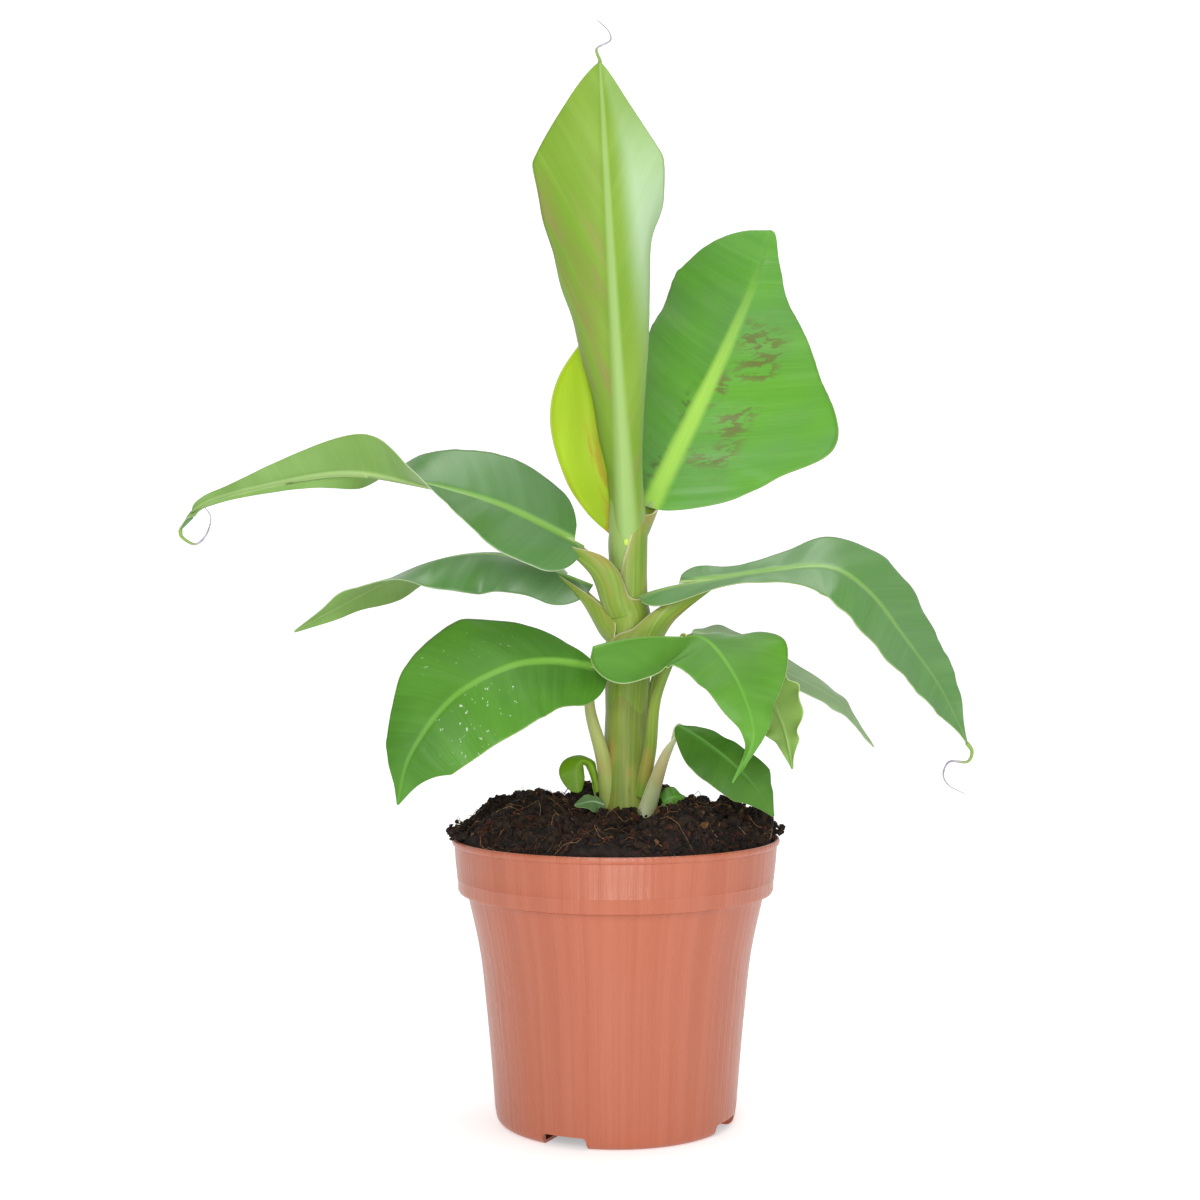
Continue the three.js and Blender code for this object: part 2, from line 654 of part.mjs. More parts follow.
// Inner sheaths come first, so each later one is cut by those that it wraps.
Object.entries(PETIOLES).forEach(([name, petiole], index) => {
  const inside = [stemCutter, ...petioleCutters.slice(0, index)];
  place(name, carve(limb(petiole, LIMB_SIZE), inside), 0x9cb45a, 0.6);
});

for (const [name, leaf] of Object.entries(LEAVES)) {
  place(name, carve(blade(leaf), petioleCutters), 0x5f9440, 0.5);
}

for (const [name, points] of Object.entries(THREADS)) {
  place(name, thread(points), 0x8d8494, 0.8);
}

export default group;
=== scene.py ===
"""A young dwarf banana plant in a round plastic nursery pot. Metres, +Z up, front towards -Y.

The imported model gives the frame. Every leaf, stalk, sheath, the soil and the pot are made again
here as fine meshes in the places that their solids hold.
"""

import math

import bmesh
import bpy
import numpy as np
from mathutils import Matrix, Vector


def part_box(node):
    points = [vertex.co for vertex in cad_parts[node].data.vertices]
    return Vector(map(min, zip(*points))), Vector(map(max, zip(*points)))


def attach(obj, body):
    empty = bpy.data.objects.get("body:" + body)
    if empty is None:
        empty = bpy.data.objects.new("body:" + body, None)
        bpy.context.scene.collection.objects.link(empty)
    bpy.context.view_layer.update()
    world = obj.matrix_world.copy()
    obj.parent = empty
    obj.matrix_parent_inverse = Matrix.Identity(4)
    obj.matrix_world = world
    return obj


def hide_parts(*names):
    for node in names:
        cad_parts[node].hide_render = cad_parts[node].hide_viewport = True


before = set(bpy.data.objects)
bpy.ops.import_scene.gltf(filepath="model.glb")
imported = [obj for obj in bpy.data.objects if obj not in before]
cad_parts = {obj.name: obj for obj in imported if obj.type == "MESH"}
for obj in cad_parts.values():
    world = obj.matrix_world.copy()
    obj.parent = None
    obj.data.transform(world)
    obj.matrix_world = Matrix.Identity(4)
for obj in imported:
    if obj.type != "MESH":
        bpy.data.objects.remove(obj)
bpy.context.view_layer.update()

# ---- driving sizes ----

POT_LOW, POT_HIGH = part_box("pot")
POT_RIM_RADIUS = (POT_HIGH[1] - POT_LOW[1]) / 2
POT_HEIGHT = POT_HIGH[2]
POT_FOOT_RADIUS = 0.062
POT_WAIST_RADII = (0.0643, 0.067, 0.0704)
POT_WALL = 0.0016
COLLAR_DROP = 0.029
COLLAR_INSET = 0.0083
COLLAR_STEP = 0.005
MOULD_LINE = 0.0085  # above the collar's lower edge
FOOT_CORNER = 0.0045
RIM_SHAPE = (  # how far in from the widest radius and down from the top, upwards and over the rim
    (0.0020, 0.012), (0.0014, 0.0036), (0.0005, 0.0030), (0.0, 0.0018), (0.0002, 0.0006),
    (0.0010, 0.0), (0.0020, 0.0004),
)
NOTCH_COUNT = 4
NOTCH_FIRST = -115.0
NOTCH_WIDTH = 0.024
NOTCH_HEIGHT = 0.006
NOTCH_CORNER = 0.0022
NOTCH_INNER_RADIUS = 0.036

SECTORS = 240  # of the pot and the soil

SOIL_LEVEL = 0.154
SOIL_EDGE = 0.012  # how far in from the rim the surface starts to fall

BLADE_THICKNESS = 0.0005
RIDGE_LIMIT = 0.0022
EDGE_WIDTH = 0.0004  # a blade is never narrower than this on either side
TIGHTEST_ROLL = 0.003  # the least radius a blade rolls to
SWEEP_REACH = 0.25  # part of a blade whose base may lie swept back and droop
SWELL = 0.0007  # the broad unevenness of a blade
BLADE_ROWS = 110
BLADE_COLUMNS = 18  # on each side of the rib

CAMERA_PLACE = (-0.0081, -0.988, 0.2691)
CAMERA_LENS = 57.0

STEM_POINTS = ((0.0045, 0.0, 0.15), (0.0055, 0.0, 0.2), (0.0065, 0.0, 0.245), (0.0065, 0.0005, 0.296))
STEM_SIZES = (0.025, 0.023, 0.021, 0.019)

# For each stalk: its line, the way its groove faces at its foot and its end, and its width.
PETIOLES = {
    "petiole_upper_right": dict(
        points=(
            (0.008, 0.006, 0.262), (0.0105, 0.009, 0.284), (0.0135, 0.012, 0.302),
            (0.017, 0.0145, 0.317),
        ),
        faces=((-0.3, -1, 0), (-0.7, -1, 0.3)), widths=(0.017, 0.015, 0.012, 0.01),
    ),
    "petiole_upper_left": dict(
        points=(
            (0.0045, -0.007, 0.24), (0.0015, -0.009, 0.266), (-0.0075, -0.009, 0.286),
            (-0.0195, -0.008, 0.299),
        ),
        faces=((0, 1, 0.1), (0.6, 0.2, 1)), widths=(0.02, 0.018, 0.011, 0.009),
    ),
    "petiole_right": dict(
        points=(
            (0.0135, -0.002, 0.228), (0.0165, -0.007, 0.25), (0.0265, -0.01, 0.264),
            (0.0405, -0.012, 0.273),
        ),
        faces=((-1, 0.2, 0.3), (-0.4, 0, 1)), widths=(0.016, 0.014, 0.009, 0.007),
    ),
    "petiole_middle_left": dict(
        points=(
            (-0.0025, 0.005, 0.232), (-0.0065, 0.007, 0.256), (-0.0135, 0.01, 0.272),
            (-0.0245, 0.014, 0.282),
        ),
        faces=((1, -0.3, 0.2), (0.5, 0, 1)), widths=(0.015, 0.013, 0.008, 0.006),
    ),
    "petiole_lower_left": dict(
        points=(
            (-0.0035, -0.004, 0.154), (-0.0065, -0.007, 0.184), (-0.0135, -0.011, 0.212),
            (-0.0105, -0.018, 0.233),
        ),
        faces=((1, 0.4, 0), (0.3, 0.5, 1)), widths=(0.012, 0.009, 0.006, 0.0055),
    ),
    "petiole_front": dict(
        points=(
            (0.0135, -0.008, 0.168), (0.018, -0.014, 0.192), (0.021, -0.024, 0.22),
            (0.0305, -0.034, 0.247),
        ),
        faces=((-0.6, 0.6, 0.1), (-0.3, 0.5, 1)), widths=(0.009, 0.007, 0.0055, 0.005),
    ),
    "petiole_back_right": dict(
        points=(
            (0.0165, 0.002, 0.19), (0.0195, 0.003, 0.222), (0.0275, 0.004, 0.243),
            (0.0395, 0.004, 0.252),
        ),
        faces=((-1, 0, 0.1), (-0.3, 0, 1)), widths=(0.009, 0.007, 0.005, 0.0045),
    ),
    "petiole_lower_right": dict(
        points=(
            (0.0155, -0.005, 0.155), (0.0205, -0.013, 0.174), (0.0255, -0.022, 0.19),
            (0.03, -0.03, 0.205),
        ),
        faces=((-1, 0.4, 0.1), (-0.6, 0.5, 0.5)), widths=(0.012, 0.009, 0.006, 0.005),
    ),
}

# For each blade: its rib, the way its upper side faces, and for each half its widths from base to tip,
# the angles in degrees at which it lifts from the rib and curls over, and the sweep and droop of its
# base.
LEAVES = {
    "leaf_top": dict(
        rib=(
            (0.006, -0.009, 0.297), (0.0041, -0.013, 0.331), (0.001, -0.022, 0.381),
            (-0.0022, -0.032, 0.435), (-0.0052, -0.038, 0.489), (-0.0082, -0.034, 0.539),
        ),
        faces=((0, 1, 0), (0, 1, 0)),
        left=dict(
            widths=(0.04, 0.06, 0.078, 0.05, 0.031, 0.022), lift=(0, 0, 0, 0, 5, 5),
            curl=(172, 180, 180, 143, 25, 5), reach=(0.75, 0.5, 0.6, 1, 1, 1),
        ),
        right=dict(
            widths=(0.01, 0.015, 0.026, 0.034, 0.038, 0.038), lift=(0, 0, 0, 0, 5, 5),
            curl=(95, 100, 100, 70, 20, 5),
        ),
        base_length=0.1, tip_length=0.19, tip_power=0.78,
    ),
    "leaf_upper_right": dict(
        rib=(
            (0.0175, 0.015, 0.318), (0.038, 0.025, 0.361), (0.057, 0.036, 0.4), (0.0745, 0.05, 0.439),
            (0.0865, 0.062, 0.4735),
        ),
        faces=((-0.3, -1, 0.3), (-0.1, -1, 0.3), (0, -1, 0.3)),
        left=dict(
            widths=(0.026, 0.052, 0.06, 0.061, 0.055, 0.05), lift=(-20, -30, -30, -20),
            curl=(-10, -10),
        ),
        right=dict(
            widths=(0.024, 0.054, 0.076, 0.049, 0.016, 0.007), lift=(5, 0, 0, 0), curl=(-10, -20, -10),
        ),
        base_length=0.12, tip_length=0.16, tip_power=0.4,
    ),
    "leaf_upper_left": dict(
        rib=(
            (-0.0211, -0.008, 0.3), (-0.0595, -0.016, 0.318), (-0.1025, -0.022, 0.329),
            (-0.1395, -0.026, 0.333), (-0.1855, -0.026, 0.325), (-0.2105, -0.024, 0.317),
            (-0.2215, -0.022, 0.305),
        ),
        faces=(
            (0.1, -0.6, 0.8), (0, -0.6, 0.8), (0, -0.5, 1), (0, -0.2, 1), (0, 0, 1), (0.5, 0, 1),
            (1, 0, 0.5),
        ),
        left=dict(
            widths=(0.026, 0.031, 0.027, 0.018, 0.007, 0.003, 0.002),
            lift=(-6, 0, 32, 98, 100, 95, 90), curl=(-20, -10, 0, 0, 0, 0, 0), sweep=0.006,
        ),
        right=dict(
            widths=(0.024, 0.033, 0.026, 0.008, 0.003, 0.002, 0.002),
            lift=(10, 12, 10, -60, -70, -50, -50),
        ),
        base_length=0.06, tip_length=0.15,
    ),
    "leaf_middle_left": dict(
        rib=(
            (-0.0261, 0.014, 0.283), (-0.0455, 0.018, 0.29), (-0.0725, 0.024, 0.294),
            (-0.1045, 0.03, 0.288), (-0.1425, 0.034, 0.269), (-0.1725, 0.034, 0.252),
        ),
        faces=((0, -0.3, 1), (0, -0.3, 1), (0, -0.2, 1), (0, 0.3, 1), (0, 0.9, 0.7)),
        left=dict(
            widths=(0.018, 0.02, 0.025, 0.022, 0.013, 0.007), lift=(-50, -30, -30, -20, 0, 0),
            curl=(-30, -30, -30, -20, 0, 0), sweep=0.016,
        ),
        right=dict(widths=(0.02, 0.026, 0.03, 0.026, 0.014, 0.008), lift=(-10, -10), curl=(-20, -20)),
        base_length=0.1, tip_length=0.3,
    ),
    "leaf_lower_left": dict(
        rib=(
            (-0.01, -0.02, 0.235), (-0.0355, -0.035, 0.2385), (-0.0575, -0.048, 0.2345),
            (-0.0815, -0.06, 0.22), (-0.1, -0.066, 0.194), (-0.1065, -0.064, 0.1695),
        ),
        faces=((0, -0.8, 0.6), (0, -0.8, 0.6), (0, -0.9, 0.4)),
        left=dict(widths=(0.02, 0.028, 0.034, 0.033, 0.022, 0.008), curl=(-10, -10), sweep=0.006),
        right=dict(widths=(0.008, 0.025, 0.039, 0.031, 0.014, 0.005), curl=(-10, -10)),
        base_length=0.1, tip_length=0.2,
    ),
    "leaf_front": dict(
        rib=(
            (0.031, -0.035, 0.251), (0.043, -0.041, 0.2505), (0.053, -0.05, 0.24),
            (0.062, -0.062, 0.222), (0.066, -0.066, 0.201), (0.0565, -0.062, 0.18),
        ),
        faces=((0.1, -0.6, 0.8), (0.2, -0.7, 0.7), (0.4, -0.9, 0.4), (0, -1, 0.1)),
        left=dict(
            widths=(0.014, 0.024, 0.036, 0.021, 0.005, 0.001), lift=(-50, -20, 8, 5, 0, 0),
            curl=(-10, -10),
        ),
        right=dict(
            widths=(0.023, 0.027, 0.021, 0.014, 0.004, 0.001), lift=(-5, -5, -5, 0), curl=(-10, -10),
            sweep=0.043, droop=0.011,
        ),
        base_length=0.06, tip_length=0.2,
    ),
    "leaf_right": dict(
        rib=(
            (0.048, -0.012, 0.28), (0.073, -0.016, 0.2835), (0.107, -0.02, 0.286),
            (0.1275, -0.024, 0.274), (0.1465, -0.028, 0.249), (0.164, -0.03, 0.224),
            (0.177, -0.03, 0.197),
        ),
        faces=((0, -0.6, 0.8), (0, -0.6, 0.8), (0.3, -0.6, 0.7), (0.5, -0.6, 0.4), (0.5, -0.6, 0.3)),
        left=dict(widths=(0.013, 0.009, 0.027, 0.031, 0.024, 0.014, 0.004), sweep=0.016),
        right=dict(widths=(0.015, 0.008, 0.022, 0.025, 0.022, 0.016, 0.004), sweep=0.037, droop=0.005),
        base_length=0.04, tip_length=0.12,
    ),
    "leaf_back_right": dict(
        rib=(
            (0.04, 0.004, 0.2525), (0.0615, 0.006, 0.247), (0.0865, 0.008, 0.233),
            (0.1165, 0.009, 0.216), (0.1355, 0.008, 0.192),
        ),
        faces=((0, -0.5, 0.9), (0.2, -0.5, 0.9), (0.4, -0.5, 0.7), (1, -0.5, 0.2)),
        left=dict(widths=(0.008, 0.014, 0.014, 0.01, 0.004), curl=(-10, -10)),
        right=dict(widths=(0.008, 0.014, 0.012, 0.008, 0.004), curl=(-10, -10)),
        base_length=0.2, tip_length=0.3,
    ),
    "leaf_back_hanging": dict(
        rib=(
            (0.044, -0.004, 0.236), (0.06, -0.005, 0.235), (0.076, -0.006, 0.224),
            (0.086, -0.008, 0.205), (0.091, -0.01, 0.182),
        ),
        faces=((0, 0.3, 1), (0.4, 0.4, 0.9), (0.7, 0.8, 0.3), (0.4, 1, 0.1)),
        left=dict(widths=(0.006, 0.014, 0.02, 0.016, 0.005), curl=(-10, -10)),
        right=dict(widths=(0.007, 0.014, 0.023, 0.017, 0.005), curl=(-10, -10)),
        base_length=0.2, tip_length=0.35,
    ),
    "leaf_low_right": dict(
        rib=(
            (0.0305, -0.0305, 0.206), (0.0485, -0.038, 0.195), (0.0665, -0.042, 0.1786),
            (0.0785, -0.04, 0.161),
        ),
        faces=((0.3, -1, 0.4), (0.3, -1, 0.4), (0.3, -1, 0.4)),
        left=dict(widths=(0.002, 0.009, 0.013, 0.007), curl=(-10, -10)),
        right=dict(widths=(0.009, 0.016, 0.013, 0.005), curl=(-10, -10)),
        base_length=0.3, tip_length=0.3,
    ),
    "leaf_low_left": dict(
        rib=(
            (-0.0095, 0.005, 0.165), (-0.011, 0.006, 0.176), (-0.0135, 0.006, 0.183),
            (-0.018, 0.005, 0.1845), (-0.0205, 0.004, 0.179), (-0.0195, 0.003, 0.1685),
        ),
        faces=((0.6, -0.7, 0.5), (0.2, -0.8, 0.8), (0, -1, 0.5)),
        left=dict(widths=(0.002, 0.002, 0.002, 0.002, 0.006, 0.009), curl=(-20, -20)),
        right=dict(widths=(0.002, 0.002, 0.003, 0.007, 0.014, 0.015), curl=(-20, -20)),
        base_length=0.3, tip_length=0.5, tip_power=0.5,
    ),
    "leaf_scrap_left": dict(
        rib=((-0.006, -0.022, 0.165), (-0.013, -0.026, 0.167), (-0.021, -0.03, 0.1655)),
        faces=((0, -0.8, 0.6), (0, -0.8, 0.6)),
        left=dict(widths=(0.004, 0.006, 0.004)),
        right=dict(widths=(0.002, 0.004, 0.002)),
    ),
    "leaf_scrap_right": dict(
        rib=((0.023, -0.003, 0.163), (0.029, -0.004, 0.167), (0.036, -0.003, 0.167)),
        faces=((-0.3, -0.9, 0.3), (0, -0.9, 0.5)),
        left=dict(widths=(0.003, 0.005, 0.003)),
        right=dict(widths=(0.003, 0.004, 0.003)),
    ),
}

THREADS = {
    "tip_thread_top": (
        (-0.0082, -0.034, 0.5402), (-0.0097, -0.034, 0.546), (-0.003, -0.034, 0.55),
        (-0.004, -0.034, 0.555), (-0.0097, -0.034, 0.5605),
    ),
    "tip_thread_left": (
        (-0.2205, -0.022, 0.301), (-0.214, -0.022, 0.2975), (-0.2085, -0.022, 0.302),
        (-0.206, -0.022, 0.311), (-0.21, -0.022, 0.3175),
    ),
    "tip_thread_right": (
        (0.1795, -0.03, 0.1925), (0.177, -0.03, 0.1875), (0.168, -0.03, 0.1875), (0.165, -0.03, 0.181),
        (0.168, -0.03, 0.1755), (0.1755, -0.03, 0.1715),
    ),
}

# How each blade differs in its finish: the height of the waves in its margins and their number, the
# depth of the soft pleats along its side veins, the width of its rib from base to tip, how far the
# side veins lean towards the tip, and its materials.
STOUT_RIB = (0.0055, 0.0044, 0.0032, 0.0022, 0.0012)
SLIM_RIB = (0.0034, 0.0026, 0.0019, 0.0013, 0.0007)
SCRAP_RIB = (0.0012, 0.0009, 0.0005)
FINISH = {
    "leaf_top": dict(
        wave=0.0005, waves=7, pleat=0.0001, lean=1.9, rib=(0.0125, 0.0098, 0.0062, 0.0044, 0.0028, 0.0014),
        upper="young_upper_backlit", under="young_under",
    ),
    "leaf_upper_right": dict(
        wave=0.0007, waves=5, pleat=0.0009, lean=0.38, rib=(0.0125, 0.0105, 0.0078, 0.0048, 0.002),
        upper="flecked",
    ),
    "leaf_upper_left": dict(wave=0.0008, waves=5, pleat=0.0005, rib=STOUT_RIB, upper="hazy"),
    "leaf_middle_left": dict(wave=0.0012, waves=5, pleat=0.0005, rib=SLIM_RIB, upper="hazy"),
    "leaf_lower_left": dict(wave=0.0007, waves=5, pleat=0.0004, rib=STOUT_RIB, upper="marked"),
    "leaf_front": dict(wave=0.001, waves=5, pleat=0.0004, rib=SLIM_RIB, upper="bright"),
    "leaf_right": dict(wave=0.0006, waves=8, pleat=0.0005, rib=STOUT_RIB, upper="glossy"),
    "leaf_back_right": dict(wave=0.0008, waves=5, pleat=0.0003, rib=SLIM_RIB, upper="pale_grey"),
    "leaf_back_hanging": dict(wave=0.0018, waves=8, pleat=0.0003, rib=SLIM_RIB, upper="pale", under="pale"),
    "leaf_low_right": dict(wave=0.0005, waves=4, pleat=0.0002, rib=SLIM_RIB, upper="dark"),
    "leaf_low_left": dict(
        wave=0.0005, waves=3, pleat=0.0001, rib=SLIM_RIB, upper="yellowing", under="yellowing",
    ),
    "leaf_scrap_left": dict(wave=0.0004, waves=3, pleat=0.0, rib=SCRAP_RIB, upper="grey"),
    "leaf_scrap_right": dict(wave=0.0004, waves=3, pleat=0.0, rib=SCRAP_RIB, upper="bright"),
}
VEIN_LEAN = 0.35
THREAD_LEAVES = {
    "tip_thread_top": "leaf_top",
    "tip_thread_left": "leaf_upper_left",
    "tip_thread_right": "leaf_right",
}


# ---- curves ----


def along(values, t):
    """Catmull-Rom through evenly spaced numbers or vectors, at one place or at an array of them."""
    points = np.array(values, dtype=float)
    flat = points.ndim == 1
    if flat:
        points = points[:, None]
    padded = np.vstack([2 * points[0] - points[1], points, 2 * points[-1] - points[-2]])
    place = np.clip(np.atleast_1d(t), 0.0, 1.0) * (len(points) - 1)
    span = np.minimum(place.astype(int), len(points) - 2)
    f = (place - span)[:, None]
    a, b, c, d = (padded[span + step] for step in range(4))
    slope, next_slope = 0.5 * (c - a), 0.5 * (d - b)
    curve = b + slope * f + (3 * (c - b) - 2 * slope - next_slope) * f**2
    curve += (2 * (b - c) + slope + next_slope) * f**3
    return curve[:, 0] if flat else curve


def unit(vectors):
    return vectors / np.linalg.norm(vectors, axis=-1, keepdims=True)


def frames(points, faces, t):
    """Origin, tangent, side and normal at each place, as the CAD's blades and limbs have them."""
    reach = 0.01
    tangent = unit(along(points, t + reach) - along(points, t - reach))
    side = unit(np.cross(tangent, along(faces, t)))
    return along(points, t), tangent, side, np.cross(side, tangent)


def smooth_noise(rng, count, terms):
    """A seeded smooth line of numbers about zero, made of a few sines, at count even places."""
    x = np.linspace(0, 2 * math.pi, count)
    line = np.zeros(count)
    for term in range(1, terms + 1):
        line += rng.normal() / term**0.5 * np.sin(term * x + rng.uniform(0, 2 * math.pi))
    return line / max(1e-9, np.abs(line).max())


# ---- meshes ----


def mesh_object(name, vertices, faces, smooth=True):
    mesh = bpy.data.meshes.new(name)
    mesh.from_pydata([tuple(v) for v in vertices], [], [tuple(int(i) for i in f) for f in faces])
    mesh.update()
    obj = bpy.data.objects.new(name, mesh)
    bpy.context.scene.collection.objects.link(obj)
    if smooth:
        mesh.polygons.foreach_set("use_smooth", [True] * len(mesh.polygons))
    return obj


def pairs(first, second):
    """Two grids of numbers, side by side, as rows of two."""
    return np.stack(np.broadcast_arrays(first, second), axis=-1).reshape(-1, 2)


def add_uv(obj, name, per_vertex):
    """A UV map from one pair of numbers for each vertex."""
    layer = obj.data.uv_layers.new(name=name)
    loops = np.empty(len(obj.data.loops), dtype=int)
    obj.data.loops.foreach_get("vertex_index", loops)
    layer.data.foreach_set("uv", np.asarray(per_vertex)[loops].ravel())


def grid_faces(rows, columns, start=0, flip=False, closed=False):
    """Quads over a grid of vertices held row by row."""
    last = columns if closed else columns - 1
    row, column = np.meshgrid(np.arange(rows - 1) * columns, np.arange(last), indexing="ij")
    following = (column + 1) % columns
    corners = [row + column, row + following, row + columns + following, row + columns + column]
    quads = np.stack(corners, axis=-1).reshape(-1, 4)
    return start + (quads[:, ::-1] if flip else quads)


def loft_faces(rows, sides, start=0):
    """The faces of a closed loft: quads round it and one face over each end."""
    faces = [tuple(f) for f in grid_faces(rows, sides, start, closed=True)]
    faces.append(tuple(range(start, start + sides))[::-1])
    faces.append(tuple(range(start + (rows - 1) * sides, start + rows * sides)))
    return faces


def polar(radius, angle, height):
    return np.stack(np.broadcast_arrays(radius * np.cos(angle), radius * np.sin(angle), height), axis=-1)


def ring_of(normal, side, angle):
    """Directions at the given angles round each place of a line."""
    return normal[:, None] * np.cos(angle)[None, :, None] + side[:, None] * np.sin(angle)[None, :, None]


def finish_piece(obj, node, slot, *materials):
    for material in materials:
        obj.data.materials.append(material)
    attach(obj, "root")
    if node:
        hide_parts(*([node] if isinstance(node, str) else node))
    return obj


# ---- materials ----


class Nodes:
    """A material's node tree, with short calls for the nodes that this script uses."""

    def __init__(self, name, roughness=0.5, specular=0.5):
        self.material = bpy.data.materials.new(name)
        self.material.use_nodes = True
        self.tree = self.material.node_tree
        self.shader = self.tree.nodes["Principled BSDF"]
        self.shader.inputs["Roughness"].default_value = roughness
        self.shader.inputs["Specular IOR Level"].default_value = specular

    def link(self, source, target):
        if isinstance(source, (int, float)):
            target.default_value = source
        elif isinstance(source, tuple):
            target.default_value = (*source, 1.0) if len(target.default_value) == 4 else source
        else:
            self.tree.links.new(source, target)

    def node(self, kind, **settings):
        made = self.tree.nodes.new(kind)
        for key, value in settings.items():
            setattr(made, key, value)
        return made

    def uv(self, name):
        return self.node("ShaderNodeUVMap", uv_map=name).outputs["UV"]

    def split(self, vector):
        made = self.node("ShaderNodeSeparateXYZ")
        self.link(vector, made.inputs[0])
        return made.outputs[0], made.outputs[1], made.outputs[2]

    def join(self, x, y, z=0.0):
        made = self.node("ShaderNodeCombineXYZ")
        for value, socket in zip((x, y, z), made.inputs):
            self.link(value, socket)
        return made.outputs[0]

    def math(self, operation, a, b=0.0):
        made = self.node("ShaderNodeMath", operation=operation)
        self.link(a, made.inputs[0])
        self.link(b, made.inputs[1])
        return made.outputs[0]

    def times(self, a, b):
        return self.math("MULTIPLY", a, b)

    def noise(self, vector, scale, detail=3.0, roughness=0.5):
        made = self.node("ShaderNodeTexNoise")
        self.link(vector, made.inputs["Vector"])
        made.inputs["Scale"].default_value = scale
        made.inputs["Detail"].default_value = detail
        made.inputs["Roughness"].default_value = roughness
        return made.outputs[0]

    def grain(self, x, y, offset=0.0, detail=2.0, roughness=0.5):
        """Noise over two coordinates, each given with its rate."""
        place = self.join(self.times(*x), self.times(*y), offset)
        return self.noise(place, 1.0, detail, roughness)

    def ramp(self, value, low, high, start=0.0, end=1.0):
        """A value between low and high turned smoothly into one between start and end."""
        made = self.node("ShaderNodeMapRange", interpolation_type="SMOOTHSTEP")
        for source, socket in zip((value, low, high, start, end), made.inputs):
            self.link(source, socket)
        return made.outputs[0]

    def mix(self, factor, a, b):
        made = self.node("ShaderNodeMix", data_type="RGBA")
        self.link(factor, made.inputs[0])
        self.link(a, made.inputs[6])
        self.link(b, made.inputs[7])
        return made.outputs[2]

    def bump(self, height, strength, distance):
        made = self.node("ShaderNodeBump")
        made.inputs["Strength"].default_value = strength
        made.inputs["Distance"].default_value = distance
        self.link(height, made.inputs["Height"])
        self.link(made.outputs[0], self.shader.inputs["Normal"])

    def colour(self, source):
        self.link(source, self.shader.inputs["Base Color"])
        return self.material


def linear(text):
    """A colour written as six hexadecimal digits, as linear red, green and blue."""
    values = [int(text[i : i + 2], 16) / 255 for i in (0, 2, 4)]
    return tuple(v / 12.92 if v <= 0.04045 else ((v + 0.055) / 1.055) ** 2.4 for v in values)


# A blade's own coordinates are held in two UV maps: "blade" has the signed distance from the rib
# and the place along the side veins' lines, both in metres, and "share" has the signed share of the
# half-width and the share of the length. "rib" has the distance from the rib in half rib widths.


def on_stretch(n, mask, value, start, end, soft_start, soft_end):
    """A mask kept where a value lies between start and end, with soft borders."""
    mask = n.times(mask, n.ramp(value, start - soft_start, start + soft_start))
    return n.times(mask, n.ramp(value, end - soft_end, end + soft_end, 1.0, 0.0))


def fleck_mask(n, fleck, index, line, across, length):
    """Where one kind of mark lies: its spots, in patches, within a band beside the rib."""
    spots = n.grain((line, fleck["fine"]), (across, fleck["run"]), 2.0 + index, 4.0, 0.62)
    patch = n.grain((line, 32.0), (across, 26.0), 7.0 + index, 1.0)
    spotted = n.ramp(spots, fleck["level"], fleck["level"] + fleck["soft"])
    mask = n.times(spotted, n.ramp(patch, 0.4, 0.52))
    mask = on_stretch(n, mask, across, *fleck["band"], 0.002, 0.005)
    mask = on_stretch(n, mask, length, *fleck["length"], 0.04, 0.06)
    return n.times(mask, fleck["amount"])


def blade_material(name, tones, flecks=(), bloom=None, painted_sheen=None, gloss=0.42, specular=0.22, rib_end=0.3):
    """One side of a blade; its tones are its two grounds, the veins, the rib and the margin, and it may
    carry a pale grey veil of painted sheen.
    """
    base, deep, vein, rib, margin = (linear(tone) for tone in tones.split())
    n = Nodes(name, gloss, specular)
    across, line, _ = n.split(n.uv("blade"))
    share, length, _ = n.split(n.uv("share"))
    rib_distance = n.math("ABSOLUTE", n.split(n.uv("rib"))[0])
    edge = n.math("ABSOLUTE", share)

    streaks = n.grain((line, 650.0), (across, 18.0), 0.0, 3.0, 0.6)
    bands = n.grain((line, 85.0), (across, 9.0), 4.0)
    clouds = n.grain((line, 22.0), (across, 22.0), 9.0)

    colour = n.mix(n.ramp(clouds, 0.32, 0.68), base, deep)
    colour = n.mix(n.ramp(bands, 0.46, 0.75, 0.0, 0.2), colour, vein)
    colour = n.mix(n.ramp(streaks, 0.45, 0.8, 0.0, 0.16), colour, vein)
    # Painted sheen: a pale grey tone mixed over cloudy patches of the blade stands in for its soft grey
    # reflections.
    if painted_sheen:
        tone, amount = painted_sheen
        sheen_spread = n.math("ADD", clouds, n.times(bands, 0.5))
        colour = n.mix(n.ramp(sheen_spread, 0.5, 0.95, 0.3 * amount, amount), colour, linear(tone))
    if bloom:
        tone, amount, side, low, high = bloom
        veil = n.ramp(n.times(share, side), low, high, 0.0, amount)
        veil = n.times(veil, n.ramp(clouds, 0.3, 0.6, 0.6, 1.0))
        colour = n.mix(n.times(veil, n.ramp(length, 0.7, 0.95, 1.0, 0.2)), colour, linear(tone))
    for index, fleck in enumerate(flecks):
        colour = n.mix(fleck_mask(n, fleck, index, line, across, length), colour, linear(fleck["tone"]))

    lines = n.grain((across, 1500.0), (line, 8.0), 5.0)
    striped = n.mix(n.ramp(lines, 0.35, 0.7, 0.0, 0.35), rib, vein)
    on_rib = n.times(n.ramp(rib_distance, 0.4, 1.45, 1.0, 0.0), n.ramp(length, 0.3, 0.95, 1.0, rib_end))
    colour = n.mix(on_rib, colour, striped)
    colour = n.mix(n.ramp(edge, 0.982, 0.996, 0.0, 0.7), colour, margin)

    n.bump(n.math("ADD", n.times(streaks, 0.5), n.times(bands, 0.7)), 0.35, 0.0007)
    n.link(n.ramp(clouds, 0.3, 0.7, gloss - 0.05, gloss + 0.06), n.shader.inputs["Roughness"])
    return n.colour(colour)


